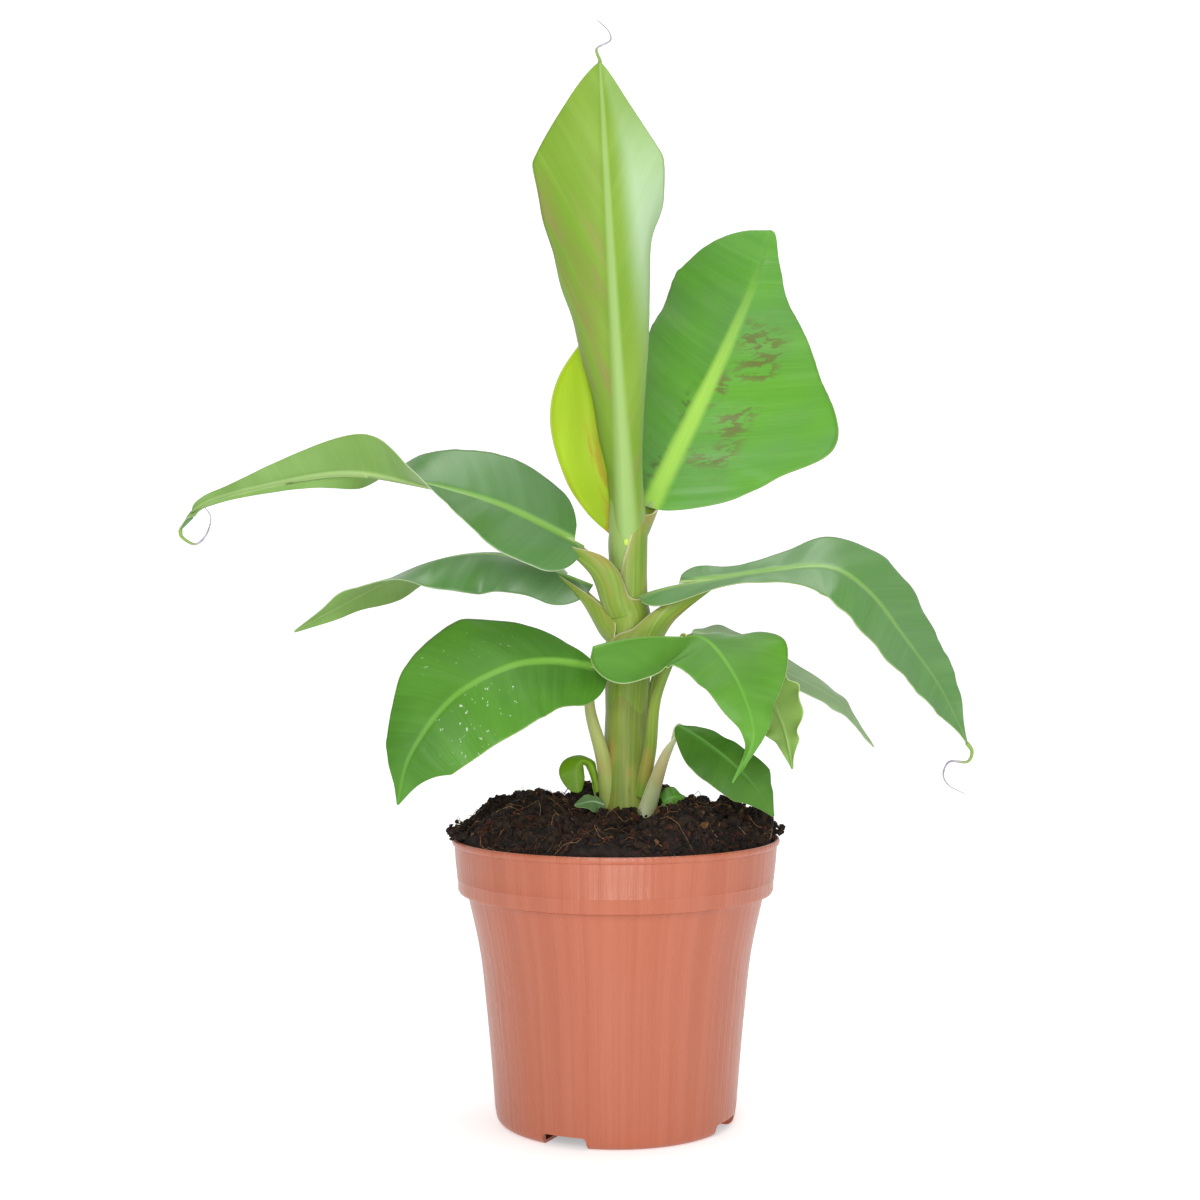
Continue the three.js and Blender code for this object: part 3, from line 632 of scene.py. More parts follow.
def stem_material(name, tones):
    """A sheath or stalk; its tones are its pale and green grounds, its dark streaks and its margin."""
    pale, green, tint, margin = (linear(tone) for tone in tones.split())
    n = Nodes(name, 0.42, 0.3)
    share, _, _ = n.split(n.uv("share"))
    across, line, _ = n.split(n.uv("blade"))
    fibres = n.grain((across, 900.0), (line, 12.0), 0.0, 3.0, 0.6)
    clouds = n.grain((across, 60.0), (line, 26.0), 3.0, 2.0)
    streaks = n.grain((across, 420.0), (line, 34.0), 6.0, 4.0, 0.7)
    flushes = n.grain((across, 90.0), (line, 40.0), 11.0, 1.0)
    colour = n.mix(n.ramp(clouds, 0.35, 0.65), pale, green)
    colour = n.mix(n.ramp(fibres, 0.4, 0.75, 0.0, 0.22), colour, linear("b4c070"))
    colour = n.mix(n.ramp(flushes, 0.52, 0.72, 0.0, 0.4), colour, linear("a87c44"))
    dark = n.times(n.ramp(streaks, 0.6, 0.68), n.ramp(line, 0.165, 0.2, 1.0, 0.12))
    colour = n.mix(n.times(dark, 0.7), colour, tint)
    edge = n.math("ABSOLUTE", share)
    colour = n.mix(n.ramp(edge, 0.7, 0.93, 0.0, 0.2), colour, linear("a88a60"))
    colour = n.mix(n.ramp(edge, 0.94, 0.985, 0.0, 0.9), colour, margin)
    n.bump(fibres, 0.4, 0.0004)
    return n.colour(colour)


def pot_material():
    n = Nodes("pot_plastic", 0.32, 0.5)
    around, height, _ = n.split(n.uv("wall"))
    fine = n.grain((around, 520.0), (height, 9.0), 0.0, 3.0, 0.6)
    broad = n.grain((around, 160.0), (height, 3.0), 5.0, 2.0)
    specks = n.grain((around, 900.0), (height, 700.0), 8.0, 2.0)
    colour = n.mix(n.ramp(broad, 0.3, 0.7), linear("9f5439"), linear("a55b41"))
    colour = n.mix(n.ramp(fine, 0.5, 0.8, 0.0, 0.3), colour, linear("ad664d"))
    colour = n.mix(n.ramp(specks, 0.7, 0.78, 0.0, 0.2), colour, linear("9c5540"))
    rough = n.ramp(fine, 0.3, 0.7, 0.26, 0.38)
    n.link(rough, n.shader.inputs["Roughness"])
    n.bump(n.math("ADD", fine, n.times(broad, 1.2)), 0.5, 0.0009)
    return n.colour(colour)


def earth_material(name, tones, scale, roughness=0.95):
    dark, light = (linear(tone) for tone in tones.split())
    n = Nodes(name, roughness, 0.25)
    place = n.node("ShaderNodeTexCoord").outputs["Object"]
    grain = n.noise(place, scale, 4.0, 0.65)
    n.bump(grain, 0.8, 0.0012)
    return n.colour(n.mix(n.ramp(grain, 0.35, 0.7), dark, light))


def tip_material():
    n = Nodes("dried_tip", 0.7, 0.25)
    _, length, _ = n.split(n.uv("share"))
    place = n.node("ShaderNodeTexCoord").outputs["Object"]
    dry = n.mix(n.ramp(n.noise(place, 300.0), 0.35, 0.7), linear("8a8090"), linear("b4aabc"))
    return n.colour(n.mix(n.ramp(length, 0.3, 0.5), linear("7f9c4c"), dry))


BLADE_MATERIALS = {
    "bright": dict(
        tones="4f8820 42781a 6ea43a 629a38 b4c694",
        painted_sheen=("9cbc88", 0.06), specular=0.25, rib_end=0.5,
    ),
    "dark": dict(tones="426f1c 356018 5a8a34 47782a a8b878"),
    "yellowing": dict(tones="6a9408 5a8406 8cb43c 84aa30 b4c48c"),
    "grey": dict(tones="5f7a50 4a6a3c 8aa07a 8aa07a a8b878"),
    "hazy": dict(
        tones="427528 376422 64944a 76a248 b8c8a0",
        painted_sheen=("84a480", 0.26), gloss=0.38, specular=0.5,
    ),
    "glossy": dict(
        tones="4a7c34 40702c 6f9e54 78a24e a8b878",
        painted_sheen=("84a67a", 0.22), gloss=0.36, specular=0.6,
    ),
    # The hanging blade's paler green, lifted further to offset the shade it hangs in: partly its own colour,
    # partly painted light.
    "pale": dict(tones="8cb05a 80a44c a4c47c 94b464 b4c694", gloss=0.5),
    "pale_grey": dict(tones="7d9a68 708e5a 98b088 98b084 c0ccb0", painted_sheen=("a8b8a0", 0.3), gloss=0.45),
    "marked": dict(
        tones="4a7f24 3c6e1c 629e3a 6ca03a a8b878",
        flecks=(
            dict(tone="c4d2bc", band=(-0.03, -0.003), length=(0.3, 0.72),
                 fine=300, run=260, level=0.63, soft=0.02, amount=0.75),
            dict(tone="b4c6a8", band=(0.012, 0.034), length=(0.25, 0.6),
                 fine=420, run=360, level=0.66, soft=0.02, amount=0.6),
        ),
    ),
    "flecked": dict(
        tones="4e9010 428012 76ae3c 9cc652 86a850",
        flecks=(
            dict(tone="5c5628", band=(0.004, 0.03), length=(0.14, 0.64),
                 fine=230, run=110, level=0.48, soft=0.06, amount=0.75),
            dict(tone="4c5024", band=(-0.022, -0.005), length=(0.06, 0.42),
                 fine=260, run=120, level=0.5, soft=0.05, amount=0.65),
        ),
        painted_sheen=("8cb480", 0.16), gloss=0.4, specular=0.4, rib_end=0.0,
    ),
    "under": dict(tones="769a50 688c42 8fac70 98b470 a8b878", gloss=0.55),
    "young_under": dict(
        tones="789832 6c9028 8cac52 8eac64 a8ba84",
        flecks=(
            dict(tone="8a744c", band=(0.003, 0.06), length=(0.05, 0.78),
                 fine=60, run=34, level=0.4, soft=0.2, amount=0.5),
            dict(tone="94805a", band=(-0.016, -0.004), length=(0.02, 0.36),
                 fine=90, run=40, level=0.44, soft=0.2, amount=0.45),
        ),
        bloom=("aec8a4", 0.85, -1.0, 0.1, 0.45), gloss=0.5, rib_end=0.8,
    ),
    # The youngest blade's upper side: its own lime green, painted brighter and yellower for the light that
    # shines through it from behind (painted backlight glow).
    "young_upper_backlit": dict(
        tones="9cbc14 90b00c a8c630 b4d050 b8c670",
        flecks=(
            dict(tone="a88018", band=(-0.09, -0.02), length=(0.0, 0.3),
                 fine=70, run=50, level=0.44, soft=0.12, amount=0.65),
        ),
        gloss=0.5,
    ),
}
MATERIALS = {name: blade_material("leaf_" + name, **look) for name, look in BLADE_MATERIALS.items()}
STALK = stem_material("stalk", "78902e 678826 6b5a30 c4be98")
PALE_STALK = stem_material("pale_stalk", "9ea460 8e9c4e 5e4c4a c4c0a0")
WHITE_STALK = stem_material("white_stalk", "c4cba6 a9b582 3f323c dedccc")
YOUNG_STALK = stem_material("young_stalk", "8ba65c 7f9c50 9c8a5c b8bc88")
STEM_SKIN = stem_material("stem_skin", "7f8c38 6c7f2c 43361f b8b080")
DRIED_TIP = tip_material()
STALK_MATERIALS = {"petiole_lower_left": PALE_STALK, "petiole_lower_right": WHITE_STALK}


# ---- blades ----


def half_section(half, t, width, across, sign):
    """Offsets out along the side and up along the normal for each column of one half."""
    lift = np.radians(along(half.get("lift", (0, 0)), t))[:, None]
    reach = along(half.get("reach", (1, 1)), t)[:, None]
    tightest = width[:, None] * reach / TIGHTEST_ROLL
    curl = np.radians(along(half.get("curl", (0, 0)), t))[:, None]
    curl = np.clip(curl, -tightest, tightest)
    middle = (np.arange(across)[None, :] + 0.5) / across
    angle = lift + curl * np.minimum(1.0, middle / reach)
    step = width[:, None] / across
    lean = lift + curl * np.minimum(1.0, np.arange(1, across + 1)[None, :] / across / reach)
    return sign * np.cumsum(step * np.cos(angle), 1), np.cumsum(step * np.sin(angle), 1), sign * lean


def half_width(half, leaf, t):
    """The half-width: the given widths, rounded in at the base and drawn to a point at the tip."""
    base = np.minimum(1.0, t / leaf.get("base_length", 0.15))
    tip = np.minimum(1.0, (1 - t) / leaf.get("tip_length", 0.4))
    rounding = np.sqrt(1 - (1 - base) ** 2)
    return EDGE_WIDTH + along(half["widths"], t) * rounding * tip ** leaf.get("tip_power", 0.8)


def blade_grid(leaf, rows, across):
    """The blade's middle surface as a grid of points, with its skin normals and coordinates."""
    t = (1 - np.cos(np.linspace(0, math.pi, rows))) / 2
    t = 0.5 * t + 0.5 * np.linspace(0, 1, rows)
    origin, tangent, side, normal = frames(leaf["rib"], leaf["faces"], t)
    parts = []
    for half, sign in ((leaf["left"], -1), (leaf["right"], 1)):
        width = half_width(half, leaf, t)
        out, up, lean = half_section(half, t, width, across, sign)
        share = np.arange(1, across + 1)[None, :] / across
        near_base = np.maximum(0, 1 - t / SWEEP_REACH)[:, None] ** 2
        sweep = -half.get("sweep", 0.0) * near_base * share**0.7
        out = out + sign * half.get("droop", 0.0) * near_base * share**2
        signed = sign * share * np.ones((rows, 1))
        parts.append((out, up, lean, sweep, signed, signed * width[:, None]))
    zero = np.zeros((rows, 1))
    columns = [np.hstack([left[:, ::-1], zero, right]) for left, right in zip(*parts)]
    out, up, lean, sweep, share, distance = columns
    points = origin[:, None] + side[:, None] * out[..., None] + normal[:, None] * up[..., None]
    points += tangent[:, None] * sweep[..., None]
    skin = normal[:, None] * np.cos(lean)[..., None] - side[:, None] * np.sin(lean)[..., None]
    rib_length = np.concatenate([[0], np.cumsum(np.linalg.norm(np.diff(origin, axis=0), axis=1))])
    return points, skin, t, share, distance, rib_length


def blade(name, leaf, look, rng):
    rows, across = (BLADE_ROWS, BLADE_COLUMNS) if leaf_length(leaf) > 0.06 else (40, 8)
    points, skin, t, share, distance, rib_length = blade_grid(leaf, rows, across)
    columns = 2 * across + 1
    edge = np.abs(share)
    lean = look.get("lean", VEIN_LEAN)
    vein_line = rib_length[:, None] - lean * np.abs(distance) - 3.0 * distance**2

    # The margins wave, the two sides out of step, and soft pleats follow the side veins.
    phase = rng.uniform(0, 2 * math.pi, 2)
    ends = np.minimum(1, np.minimum(t / 0.08, (1 - t) / 0.15))[:, None]
    turns = 2 * math.pi * look["waves"] * t[:, None]
    drift = smooth_noise(rng, rows, 5)[:, None] * 1.6
    side_phase = np.where(share < 0, phase[0], phase[1])
    wave = look["wave"] * edge**2.2 * ends * np.sin(turns + side_phase + drift)
    pleats = np.interp(vein_line, np.linspace(-0.05, 0.35, 400), smooth_noise(rng, 400, 60))
    pleats *= look["pleat"] * ends * np.minimum(1, edge * 4)
    swell = SWELL * ends * edge**0.5 * np.sin(2.2 * math.pi * t[:, None] + 2.4 * share + phase[0])
    lifted = points + skin * (wave + pleats + swell)[..., None]

    rib = along(look["rib"], t)[:, None]
    ridge = np.minimum(0.5 * rib, RIDGE_LIMIT) * np.exp(-((distance / (0.42 * rib)) ** 2))
    ridge *= np.minimum(1, t / 0.12)[:, None]
    groove = 0.18 * np.minimum(rib, 0.005) * np.exp(-((distance / (0.3 * rib)) ** 2))
    half = BLADE_THICKNESS / 2
    upper = lifted + skin * (half - groove)[..., None]
    lower = lifted - skin * (half + ridge)[..., None]

    count = rows * columns
    faces_up = grid_faces(rows, columns)
    faces_down = grid_faces(rows, columns, count, flip=True)
    ring = rim_indices(rows, columns)
    following = np.roll(ring, -1)
    faces_rim = np.stack([ring, ring + count, following + count, following], axis=1)
    obj = mesh_object(
        name,
        np.vstack([upper.reshape(-1, 3), lower.reshape(-1, 3)]),
        np.vstack([faces_up, faces_down, faces_rim]),
    )
    slots = np.zeros(len(obj.data.polygons), dtype=int)
    slots[len(faces_up) : len(faces_up) + len(faces_down)] = 1
    obj.data.polygons.foreach_set("material_index", slots)
    flat = pairs(share * 0.235 + 0.25, t[:, None])
    add_uv(obj, "OFBake", np.vstack([flat, flat + (0.5, 0.0)]))
    for layer, own in (
        ("blade", pairs(distance, vein_line)),
        ("share", pairs(share, t[:, None])),
        ("rib", pairs(np.clip(distance / (0.5 * rib), -4, 4), t[:, None])),
    ):
        add_uv(obj, layer, np.vstack([own, own]))
    slot = "leaf_young" if name == "leaf_top" else "leaf"
    return finish_piece(obj, name, slot, MATERIALS[look["upper"]], MATERIALS[look.get("under", "under")])


def leaf_length(leaf):
    rib = np.array(leaf["rib"])
    return np.linalg.norm(np.diff(rib, axis=0), axis=1).sum()


def rim_indices(rows, columns):
    """The grid's border as one closed walk, seen from above with its inside on the left."""
    bottom = np.arange(columns)
    right = np.arange(1, rows) * columns + columns - 1
    top = (rows - 1) * columns + np.arange(columns - 2, -1, -1)
    left = np.arange(rows - 2, 0, -1) * columns
    return np.concatenate([bottom, right, top, left])


# ---- stem, sheaths and stalks ----


def tube(name, points, radius_at, rows, sides, facing=(0, -1, 0)):
    """A closed round loft; radius_at gives its radius from the shares of length and the angles."""
    t = np.linspace(0, 1, rows)
    origin, _, side, normal = frames(points, [facing, facing], t)
    angle = np.linspace(0, 2 * math.pi, sides, endpoint=False)
    radius = radius_at(t[:, None], angle[None, :]) * np.ones((rows, sides))
    vertices = origin[:, None] + ring_of(normal, side, angle) * radius[..., None]
    obj = mesh_object(name, vertices.reshape(-1, 3), loft_faces(rows, sides))
    around = 0.01 * (angle - math.pi)[None, :]
    add_uv(obj, "blade", pairs(around, origin[:, 2:]))
    add_uv(obj, "share", pairs(0 * around, t[:, None]))
    return obj


def pseudostem():
    """The stem of rolled sheaths, with the shallow steps of their edges and a flare at its foot."""

    def radius_at(t, angle):
        flare = 0.0012 * np.exp(-((t / 0.12) ** 2))
        sway = 0.0003 * np.sin(3 * angle + 2.0 + 1.2 * t)
        return along(STEM_SIZES, t[:, 0])[:, None] / 2 + flare + sway

    obj = tube("stem_core", [*STEM_POINTS[:3], stem_axis(0.285)], radius_at, 90, 48)
    return finish_piece(obj, "pseudostem", "stem", STEM_SKIN)


# The sheaths that wrap the stem: the azimuth in degrees at which the stalk leaves, then for rising
# heights the part of a turn that the sheath covers, in degrees, and how far it stands off the stem.
WRAPS = {
    "petiole_upper_right": dict(
        azimuth=40,
        levels=((0.262, 330, -0.0006), (0.278, 316, 0.0), (0.29, 290, 0.0004), (0.304, 236, 0.0009)),
    ),
    "petiole_upper_left": dict(
        azimuth=-158, levels=((0.206, 340, -0.0012), (0.246, 338, 0.0002), (0.262, 330, 0.0014)),
    ),
    "petiole_right": dict(
        azimuth=-30, levels=((0.196, 330, -0.0012), (0.226, 300, 0.0008), (0.244, 230, 0.0024)),
    ),
    "petiole_middle_left": dict(
        azimuth=160, levels=((0.19, 300, -0.0012), (0.226, 250, 0.0004), (0.25, 150, 0.0014)),
    ),
}
STALK_RUN = 0.035  # the share of a blade's length that its stalk runs on for, under the rib


def stem_axis(z):
    points = np.array(STEM_POINTS)
    return np.array([np.interp(z, points[:, 2], points[:, k]) for k in (0, 1)] + [z])


def stem_radius(z):
    return np.interp(z, np.array(STEM_POINTS)[:, 2], np.array(STEM_SIZES) / 2)


def under_rib(name, radius):
    """The last two keys of a stalk: at the start of its blade and a little further on, under the rib."""
    leaf = LEAVES[name.replace("petiole_lower_right", "petiole_low_right").replace("petiole", "leaf")]
    origin, _, _, normal = frames(leaf["rib"], leaf["faces"], np.array([0.015, STALK_RUN]))
    start = (origin[0] - normal[0] * 0.6 * radius, normal[0], 0.8 * radius, 190, 0.75 * radius)
    end = (origin[1] - normal[1] * 0.003, normal[1], 0.0014, 180, 0.0012)
    return [start, end]


def crescent(name, keys):
    """A shell lofted through keys of centre, facing, radius, span in degrees and thickness.

    It lies on the side of its centre line that looks away from the facing direction."""
    rows, sides = 80, 30
    centres, facings, radii, spans, thicks = zip(*keys)
    t = np.linspace(0, 1, rows)
    origin, _, side, normal = frames(centres, facings, t)
    radius = along(radii, t)[:, None]
    span = np.radians(np.clip(along(spans, t), 40, 352))[:, None]
    thick = along(thicks, t)[:, None]
    u = np.linspace(-1, 1, sides)[None, :]
    angle = u * span / 2
    taper = np.sqrt(np.maximum(0.03, 1 - np.abs(u) ** 3))
    ring = -normal[:, None] * np.cos(angle)[..., None] + side[:, None] * np.sin(angle)[..., None]
    outer = origin[:, None] + ring * radius[..., None]
    inner = origin[:, None] + ring * (radius - thick * taper)[..., None]
    section = np.concatenate([outer, inner[:, ::-1]], axis=1)
    columns = 2 * sides
    faces = [tuple(f) for f in grid_faces(rows, columns, closed=True)]
    faces += strip_caps(rows, sides)
    obj = mesh_object(name, section.reshape(-1, 3), faces)
    both = np.concatenate([u[0], u[0, ::-1]])[None, :]
    add_uv(obj, "blade", pairs(both * radius * span / 2, origin[:, 2:]))
    add_uv(obj, "share", pairs(both, t[:, None]))
    return obj


def strip_caps(rows, sides):
    """Quads that close the two ends of a crescent, from its outer line to its inner one."""
    caps = []
    for index in range(sides - 1):
        inner = 2 * sides - 1 - index
        caps.append((index, inner, inner - 1, index + 1))
        start = (rows - 1) * 2 * sides
        caps.append((start + index, start + index + 1, start + inner - 1, start + inner))
    return caps


def sheath(name, petiole):
    """A sheath that wraps the stem at its foot and narrows to a grooved stalk under its blade."""
    wrap = WRAPS[name]
    turn = math.radians(wrap["azimuth"])
    inwards = np.array([-math.cos(turn), -math.sin(turn), 0])
    points = np.array(petiole["points"])
    up = unit(np.array(petiole["faces"][-1], dtype=float))
    stalk = petiole["widths"][-1] / 2
    keys = []
    for z, span, stand in wrap["levels"]:
        keys.append((stem_axis(z), inwards, stem_radius(z) + stand, span, 0.001))
    last = keys[-1]
    rest = [p for p in points if p[2] > last[0][2] + 0.006]
    blend = 0.65 * last[0] + 0.35 * np.array(rest[0])
    keys.append((blend, unit(inwards * 0.85 + up * 0.15), 0.85 * last[2], 215, 0.0014))
    for index, point in enumerate(rest):
        share = (index + 1) / len(rest)
        facing = unit(inwards * (1 - share) + up * share)
        radius = last[2] + (stalk - last[2]) * share**0.6
        span = last[3] + (200 - last[3]) * share**0.7
        keys.append((point, facing, radius, span, min(0.8 * radius, 0.001 + 0.0025 * share)))
    keys[-1:] = under_rib(name, stalk)
    return finish_piece(crescent(name + "_sheath", keys), name, "stem", STALK)


def stalk(name, petiole):
    """A slim stalk beside the stem, round below and grooved above, with its foot in the soil."""
    points = [np.array(p) for p in petiole["points"]]
    first, last = (unit(np.array(f, dtype=float)) for f in petiole["faces"])
    keys = []
    for index, point in enumerate(points):
        share = index / (len(points) - 1)
        radius = petiole["widths"][index] / 2
        facing = unit(first * (1 - share) + last * share)
        keys.append((point + facing * 0.3 * radius, facing, radius, 240 - 30 * share, 0.8 * radius))
    keys[-1:] = under_rib(name, radius)
    return finish_piece(crescent(name + "_stalk", keys), name, "stem", STALK_MATERIALS.get(name, STALK))


def young_stalk():
    """The rolled stalk of the youngest blade, which stands in the middle of all the sheaths."""
    rib = np.array(LEAVES["leaf_top"]["rib"])
    centres = [stem_axis(0.262), stem_axis(0.285), rib[0] + (0, 0.0088, 0.004), rib[1] + (0, 0.0066, 0)]
    centres.append(0.5 * (rib[1] + rib[2]) + (0, 0.0042, 0))
    radii = [0.0094, 0.0094, 0.0096, 0.0068, 0.0036]
    obj = tube("leaf_top_stalk", centres, lambda t, angle: along(radii, t[:, 0])[:, None], 50, 40)
    return finish_piece(obj, None, "leaf_young", YOUNG_STALK)


def thread(name, points, leaf):
    """A leaf's tip drawn out to a curl, green where it leaves the blade and dry at its end."""
    line = [LEAVES[leaf]["rib"][-1], *points]
    obj = tube(name + "_curl", line, lambda t, angle: 0.0009 * (1 - t) ** 1.5 + 0.0002, 80, 8)
    return finish_piece(obj, name, "dry_tip", DRIED_TIP)


# ---- pot ----


def pot_radius(z):
    shoulder = POT_HEIGHT - COLLAR_DROP
    radii = [POT_FOOT_RADIUS, *POT_WAIST_RADII, POT_RIM_RADIUS - COLLAR_INSET]
    return along(radii, np.clip(z / shoulder, 0, 1))


def pot_profile():
    """Radius and height round the whole wall, from the outside of the base to its inside."""
    shoulder = POT_HEIGHT - COLLAR_DROP
    foot = [(0.0005, 0.0), (0.02, 0.0), (0.045, 0.0), (POT_FOOT_RADIUS - FOOT_CORNER, 0.0)]
    corner = [
        (POT_FOOT_RADIUS - FOOT_CORNER * (1 - math.sin(a)), FOOT_CORNER * (1 - math.cos(a)))
        for a in np.linspace(0.2, 1.45, 7)
    ]
    levels = np.linspace(0.008, shoulder - 0.0006, 40)
    wall = [(float(pot_radius(z)[0]), z) for z in levels]
    neck = POT_RIM_RADIUS - COLLAR_INSET
    step = [
        (neck + 0.0008, shoulder + 0.0004),
        (neck + COLLAR_STEP - 0.0008, shoulder + 0.0012),
        (neck + COLLAR_STEP, shoulder + 0.0026),
    ]
    line = shoulder + MOULD_LINE
    below_line = [(0.0032, line - 0.0006), (0.0028, line), (0.0029, line + 0.0006)]
    collar = [(POT_RIM_RADIUS - inset, z) for inset, z in below_line]
    collar += [(POT_RIM_RADIUS - inset, POT_HEIGHT - drop) for inset, drop in RIM_SHAPE]
    bore = POT_RIM_RADIUS - POT_WALL
    inside = [
        (bore - 0.0012, POT_HEIGHT - 0.0016),
        (bore - 0.0030, POT_HEIGHT - 0.012),
        (bore - 0.0045, shoulder + 0.003),
        (bore - 0.0100, shoulder - 0.002),
        (0.0670, 0.08),
        (0.0620, 0.03),
        (POT_FOOT_RADIUS - 0.004, POT_WALL),
        (0.0005, POT_WALL),
    ]
    return foot + corner + wall + step + collar + inside


def pot():
    profile = np.array(pot_profile())
    angle = np.linspace(0, 2 * math.pi, SECTORS, endpoint=False)
    vertices = polar(profile[:, :1], angle, profile[:, 1:]).reshape(-1, 3)
    obj = mesh_object("pot_shell", vertices, loft_faces(len(profile), SECTORS))
    for index in range(NOTCH_COUNT):
        cutter = notch(index)
        modifier = obj.modifiers.new("notch", "BOOLEAN")
        modifier.operation = "DIFFERENCE"
        modifier.solver = "EXACT"
        modifier.object = cutter
        bpy.context.view_layer.update()
        evaluated = obj.evaluated_get(bpy.context.evaluated_depsgraph_get())
        carved = bpy.data.meshes.new_from_object(evaluated)
        obj.modifiers.clear()
        obj.data = carved
        bpy.data.objects.remove(cutter)
    wall_uv(obj)
    mesh = obj.data
    mesh.polygons.foreach_set("use_smooth", [True] * len(mesh.polygons))
    mesh.set_sharp_from_angle(angle=math.radians(38))
    return finish_piece(obj, "pot", "pot", pot_material())


def wall_uv(obj):
    """Distance round the pot and height, in metres, on each face corner."""
    layer = obj.data.uv_layers.new(name="wall")
    for polygon in obj.data.polygons:
        middle = math.atan2(polygon.center.y, polygon.center.x)
        for loop in polygon.loop_indices:
            place = obj.data.vertices[obj.data.loops[loop].vertex_index].co
            angle = math.atan2(place.y, place.x)
            angle += 2 * math.pi * round((middle - angle) / (2 * math.pi))
            layer.data[loop].uv = (angle * 0.075, place.z)


def notch(index):
    half = NOTCH_WIDTH / 2
    corner = NOTCH_CORNER
    outline = [(-half, -0.004), (half, -0.004)]
    for centre, start in ((half - corner, 0.0), (-half + corner, math.pi / 2)):
        for a in np.linspace(start, start + math.pi / 2, 6):
            outline.append((centre + corner * math.cos(a), NOTCH_HEIGHT - corner + corner * math.sin(a)))
    turn = math.radians(NOTCH_FIRST + 360 * index / NOTCH_COUNT)
    out = np.array([math.cos(turn), math.sin(turn), 0])
    side = np.array([-math.sin(turn), math.cos(turn), 0])
    rings = [
        [out * reach + side * x + np.array([0, 0, z]) for x, z in outline]
        for reach in (NOTCH_INNER_RADIUS, 0.085)
    ]
    obj = mesh_object("notch_cutter", np.vstack(rings), loft_faces(2, len(outline)), smooth=False)
    made = bmesh.new()
    made.from_mesh(obj.data)
    bmesh.ops.recalc_face_normals(made, faces=made.faces)
    made.to_mesh(obj.data)
    made.free()
    return obj


# ---- soil ----


def soil_top(radius, angle):
    dome = 0.008 * (1 - (radius / POT_RIM_RADIUS) ** 2)
    lumps = 0.0034 * np.sin(3 * angle + 0.6) * np.sin(radius / 0.011)
    lumps = lumps + 0.0026 * np.sin(5 * angle + radius / 0.009) + 0.0016 * np.cos(8 * angle - radius / 0.007)
    back = 0.0035 * np.sin(angle)
    return SOIL_LEVEL + dome + (lumps + back) * np.minimum(1, radius / 0.03)


def value_noise(rng, size):
    """A function of x and y: smooth seeded noise between -1 and 1 on a grid of the given size."""
    table = rng.uniform(-1, 1, (64, 64))

    def at(x, y):
        gx, gy = np.asarray(x) / size + 1000, np.asarray(y) / size + 1000
        ix, iy = np.floor(gx).astype(int), np.floor(gy).astype(int)
        fx, fy = gx - ix, gy - iy
        fx, fy = fx * fx * (3 - 2 * fx), fy * fy * (3 - 2 * fy)
        cell = lambda a, b: table[a % 64, b % 64]
        low = cell(ix, iy) * (1 - fx) + cell(ix + 1, iy) * fx
        high = cell(ix, iy + 1) * (1 - fx) + cell(ix + 1, iy + 1) * fx
        return low * (1 - fy) + high * fy

    return at


def soil(rng):
    rings = 90
    fill = POT_RIM_RADIUS - POT_WALL - 0.0014
    grains = ((0.012, 0.003), (0.005, 0.0018), (0.002, 0.0009))
    noises = [(value_noise(rng, size), height) for size, height in grains]

    def surface(radius, angle):
        x, y = radius * np.cos(angle), radius * np.sin(angle)
        z = soil_top(radius, angle)
        for noise, height in noises:
            z = z + height * noise(x, y)
        rim = np.clip(1 - (fill - radius) / SOIL_EDGE, 0, 1)
        return z - rim * rim * (3 - 2 * rim) * (0.003 + 0.004 * np.abs(np.sin(angle)))

    radius = (fill * np.linspace(0.004, 1, rings))[:, None]
    angle = np.linspace(0, 2 * math.pi, SECTORS, endpoint=False)[None, :]
    top = polar(radius, angle, surface(radius, angle))
    skirt = top[-1] * (0.96, 0.96, 0)
    skirt[:, 2] = POT_HEIGHT - 0.02
    vertices = np.vstack([top.reshape(-1, 3), skirt])
    obj = mesh_object("soil_bed", vertices, loft_faces(rings + 1, SECTORS))
    finish_piece(obj, "soil", "soil", earth_material("peat", "14100e 2a1f19", 260))
    return surface


def joined_blobs(name, places, sizes, rng, material, detail=1):
    """Many small uneven lumps in one mesh, each a ball pulled out of shape."""
    made = bmesh.new()
    bmesh.ops.create_icosphere(made, subdivisions=detail, radius=1.0)
    shape = np.array([v.co[:] for v in made.verts])
    triangles = np.array([[v.index for v in f.verts] for f in made.faces])
    made.free()
    count = len(places)
    turned = rng.normal(size=(count, 3, 3))
    turned = np.linalg.qr(turned)[0]
    squash = rng.uniform(0.45, 1.15, (count, 1, 3))
    bumps = rng.uniform(0.7, 1.25, (count, len(shape), 1))
    lumps = np.einsum("nij,nkj->nki", turned, shape[None] * bumps * squash) * sizes[:, None, None]
    vertices = (lumps + places[:, None]).reshape(-1, 3)
    faces = (triangles[None] + (np.arange(count) * len(shape))[:, None, None]).reshape(-1, 3)
    obj = mesh_object(name, vertices, faces, smooth=False)
    return finish_piece(obj, None, "soil", material)


def crumbs(surface, rng):
    """Small crumbs of four tones, which stay inside the rim."""
    kinds = {
        "soil_crumbs_dark": ("120f0d 241c18", 4600),
        "soil_crumbs_brown": ("20170f 3a2a1f", 3600),
        "soil_crumbs_red": ("2c1710 4a2a1c", 1500),
        "soil_crumbs_tan": ("543a24 7c5a38", 240),
    }
    for name, (tones, count) in kinds.items():
        angle = rng.uniform(0, 2 * math.pi, count)
        sizes = 0.0004 + 0.0024 * rng.uniform(0, 1, count) ** 3.6
        radius = (POT_RIM_RADIUS - POT_WALL - 0.001 - sizes) * np.sqrt(rng.uniform(0, 1, count))
        places = polar(radius, angle, surface(radius, angle) + 0.35 * sizes)
        joined_blobs(name, places, sizes, rng, earth_material(name + "_earth", tones, 900))


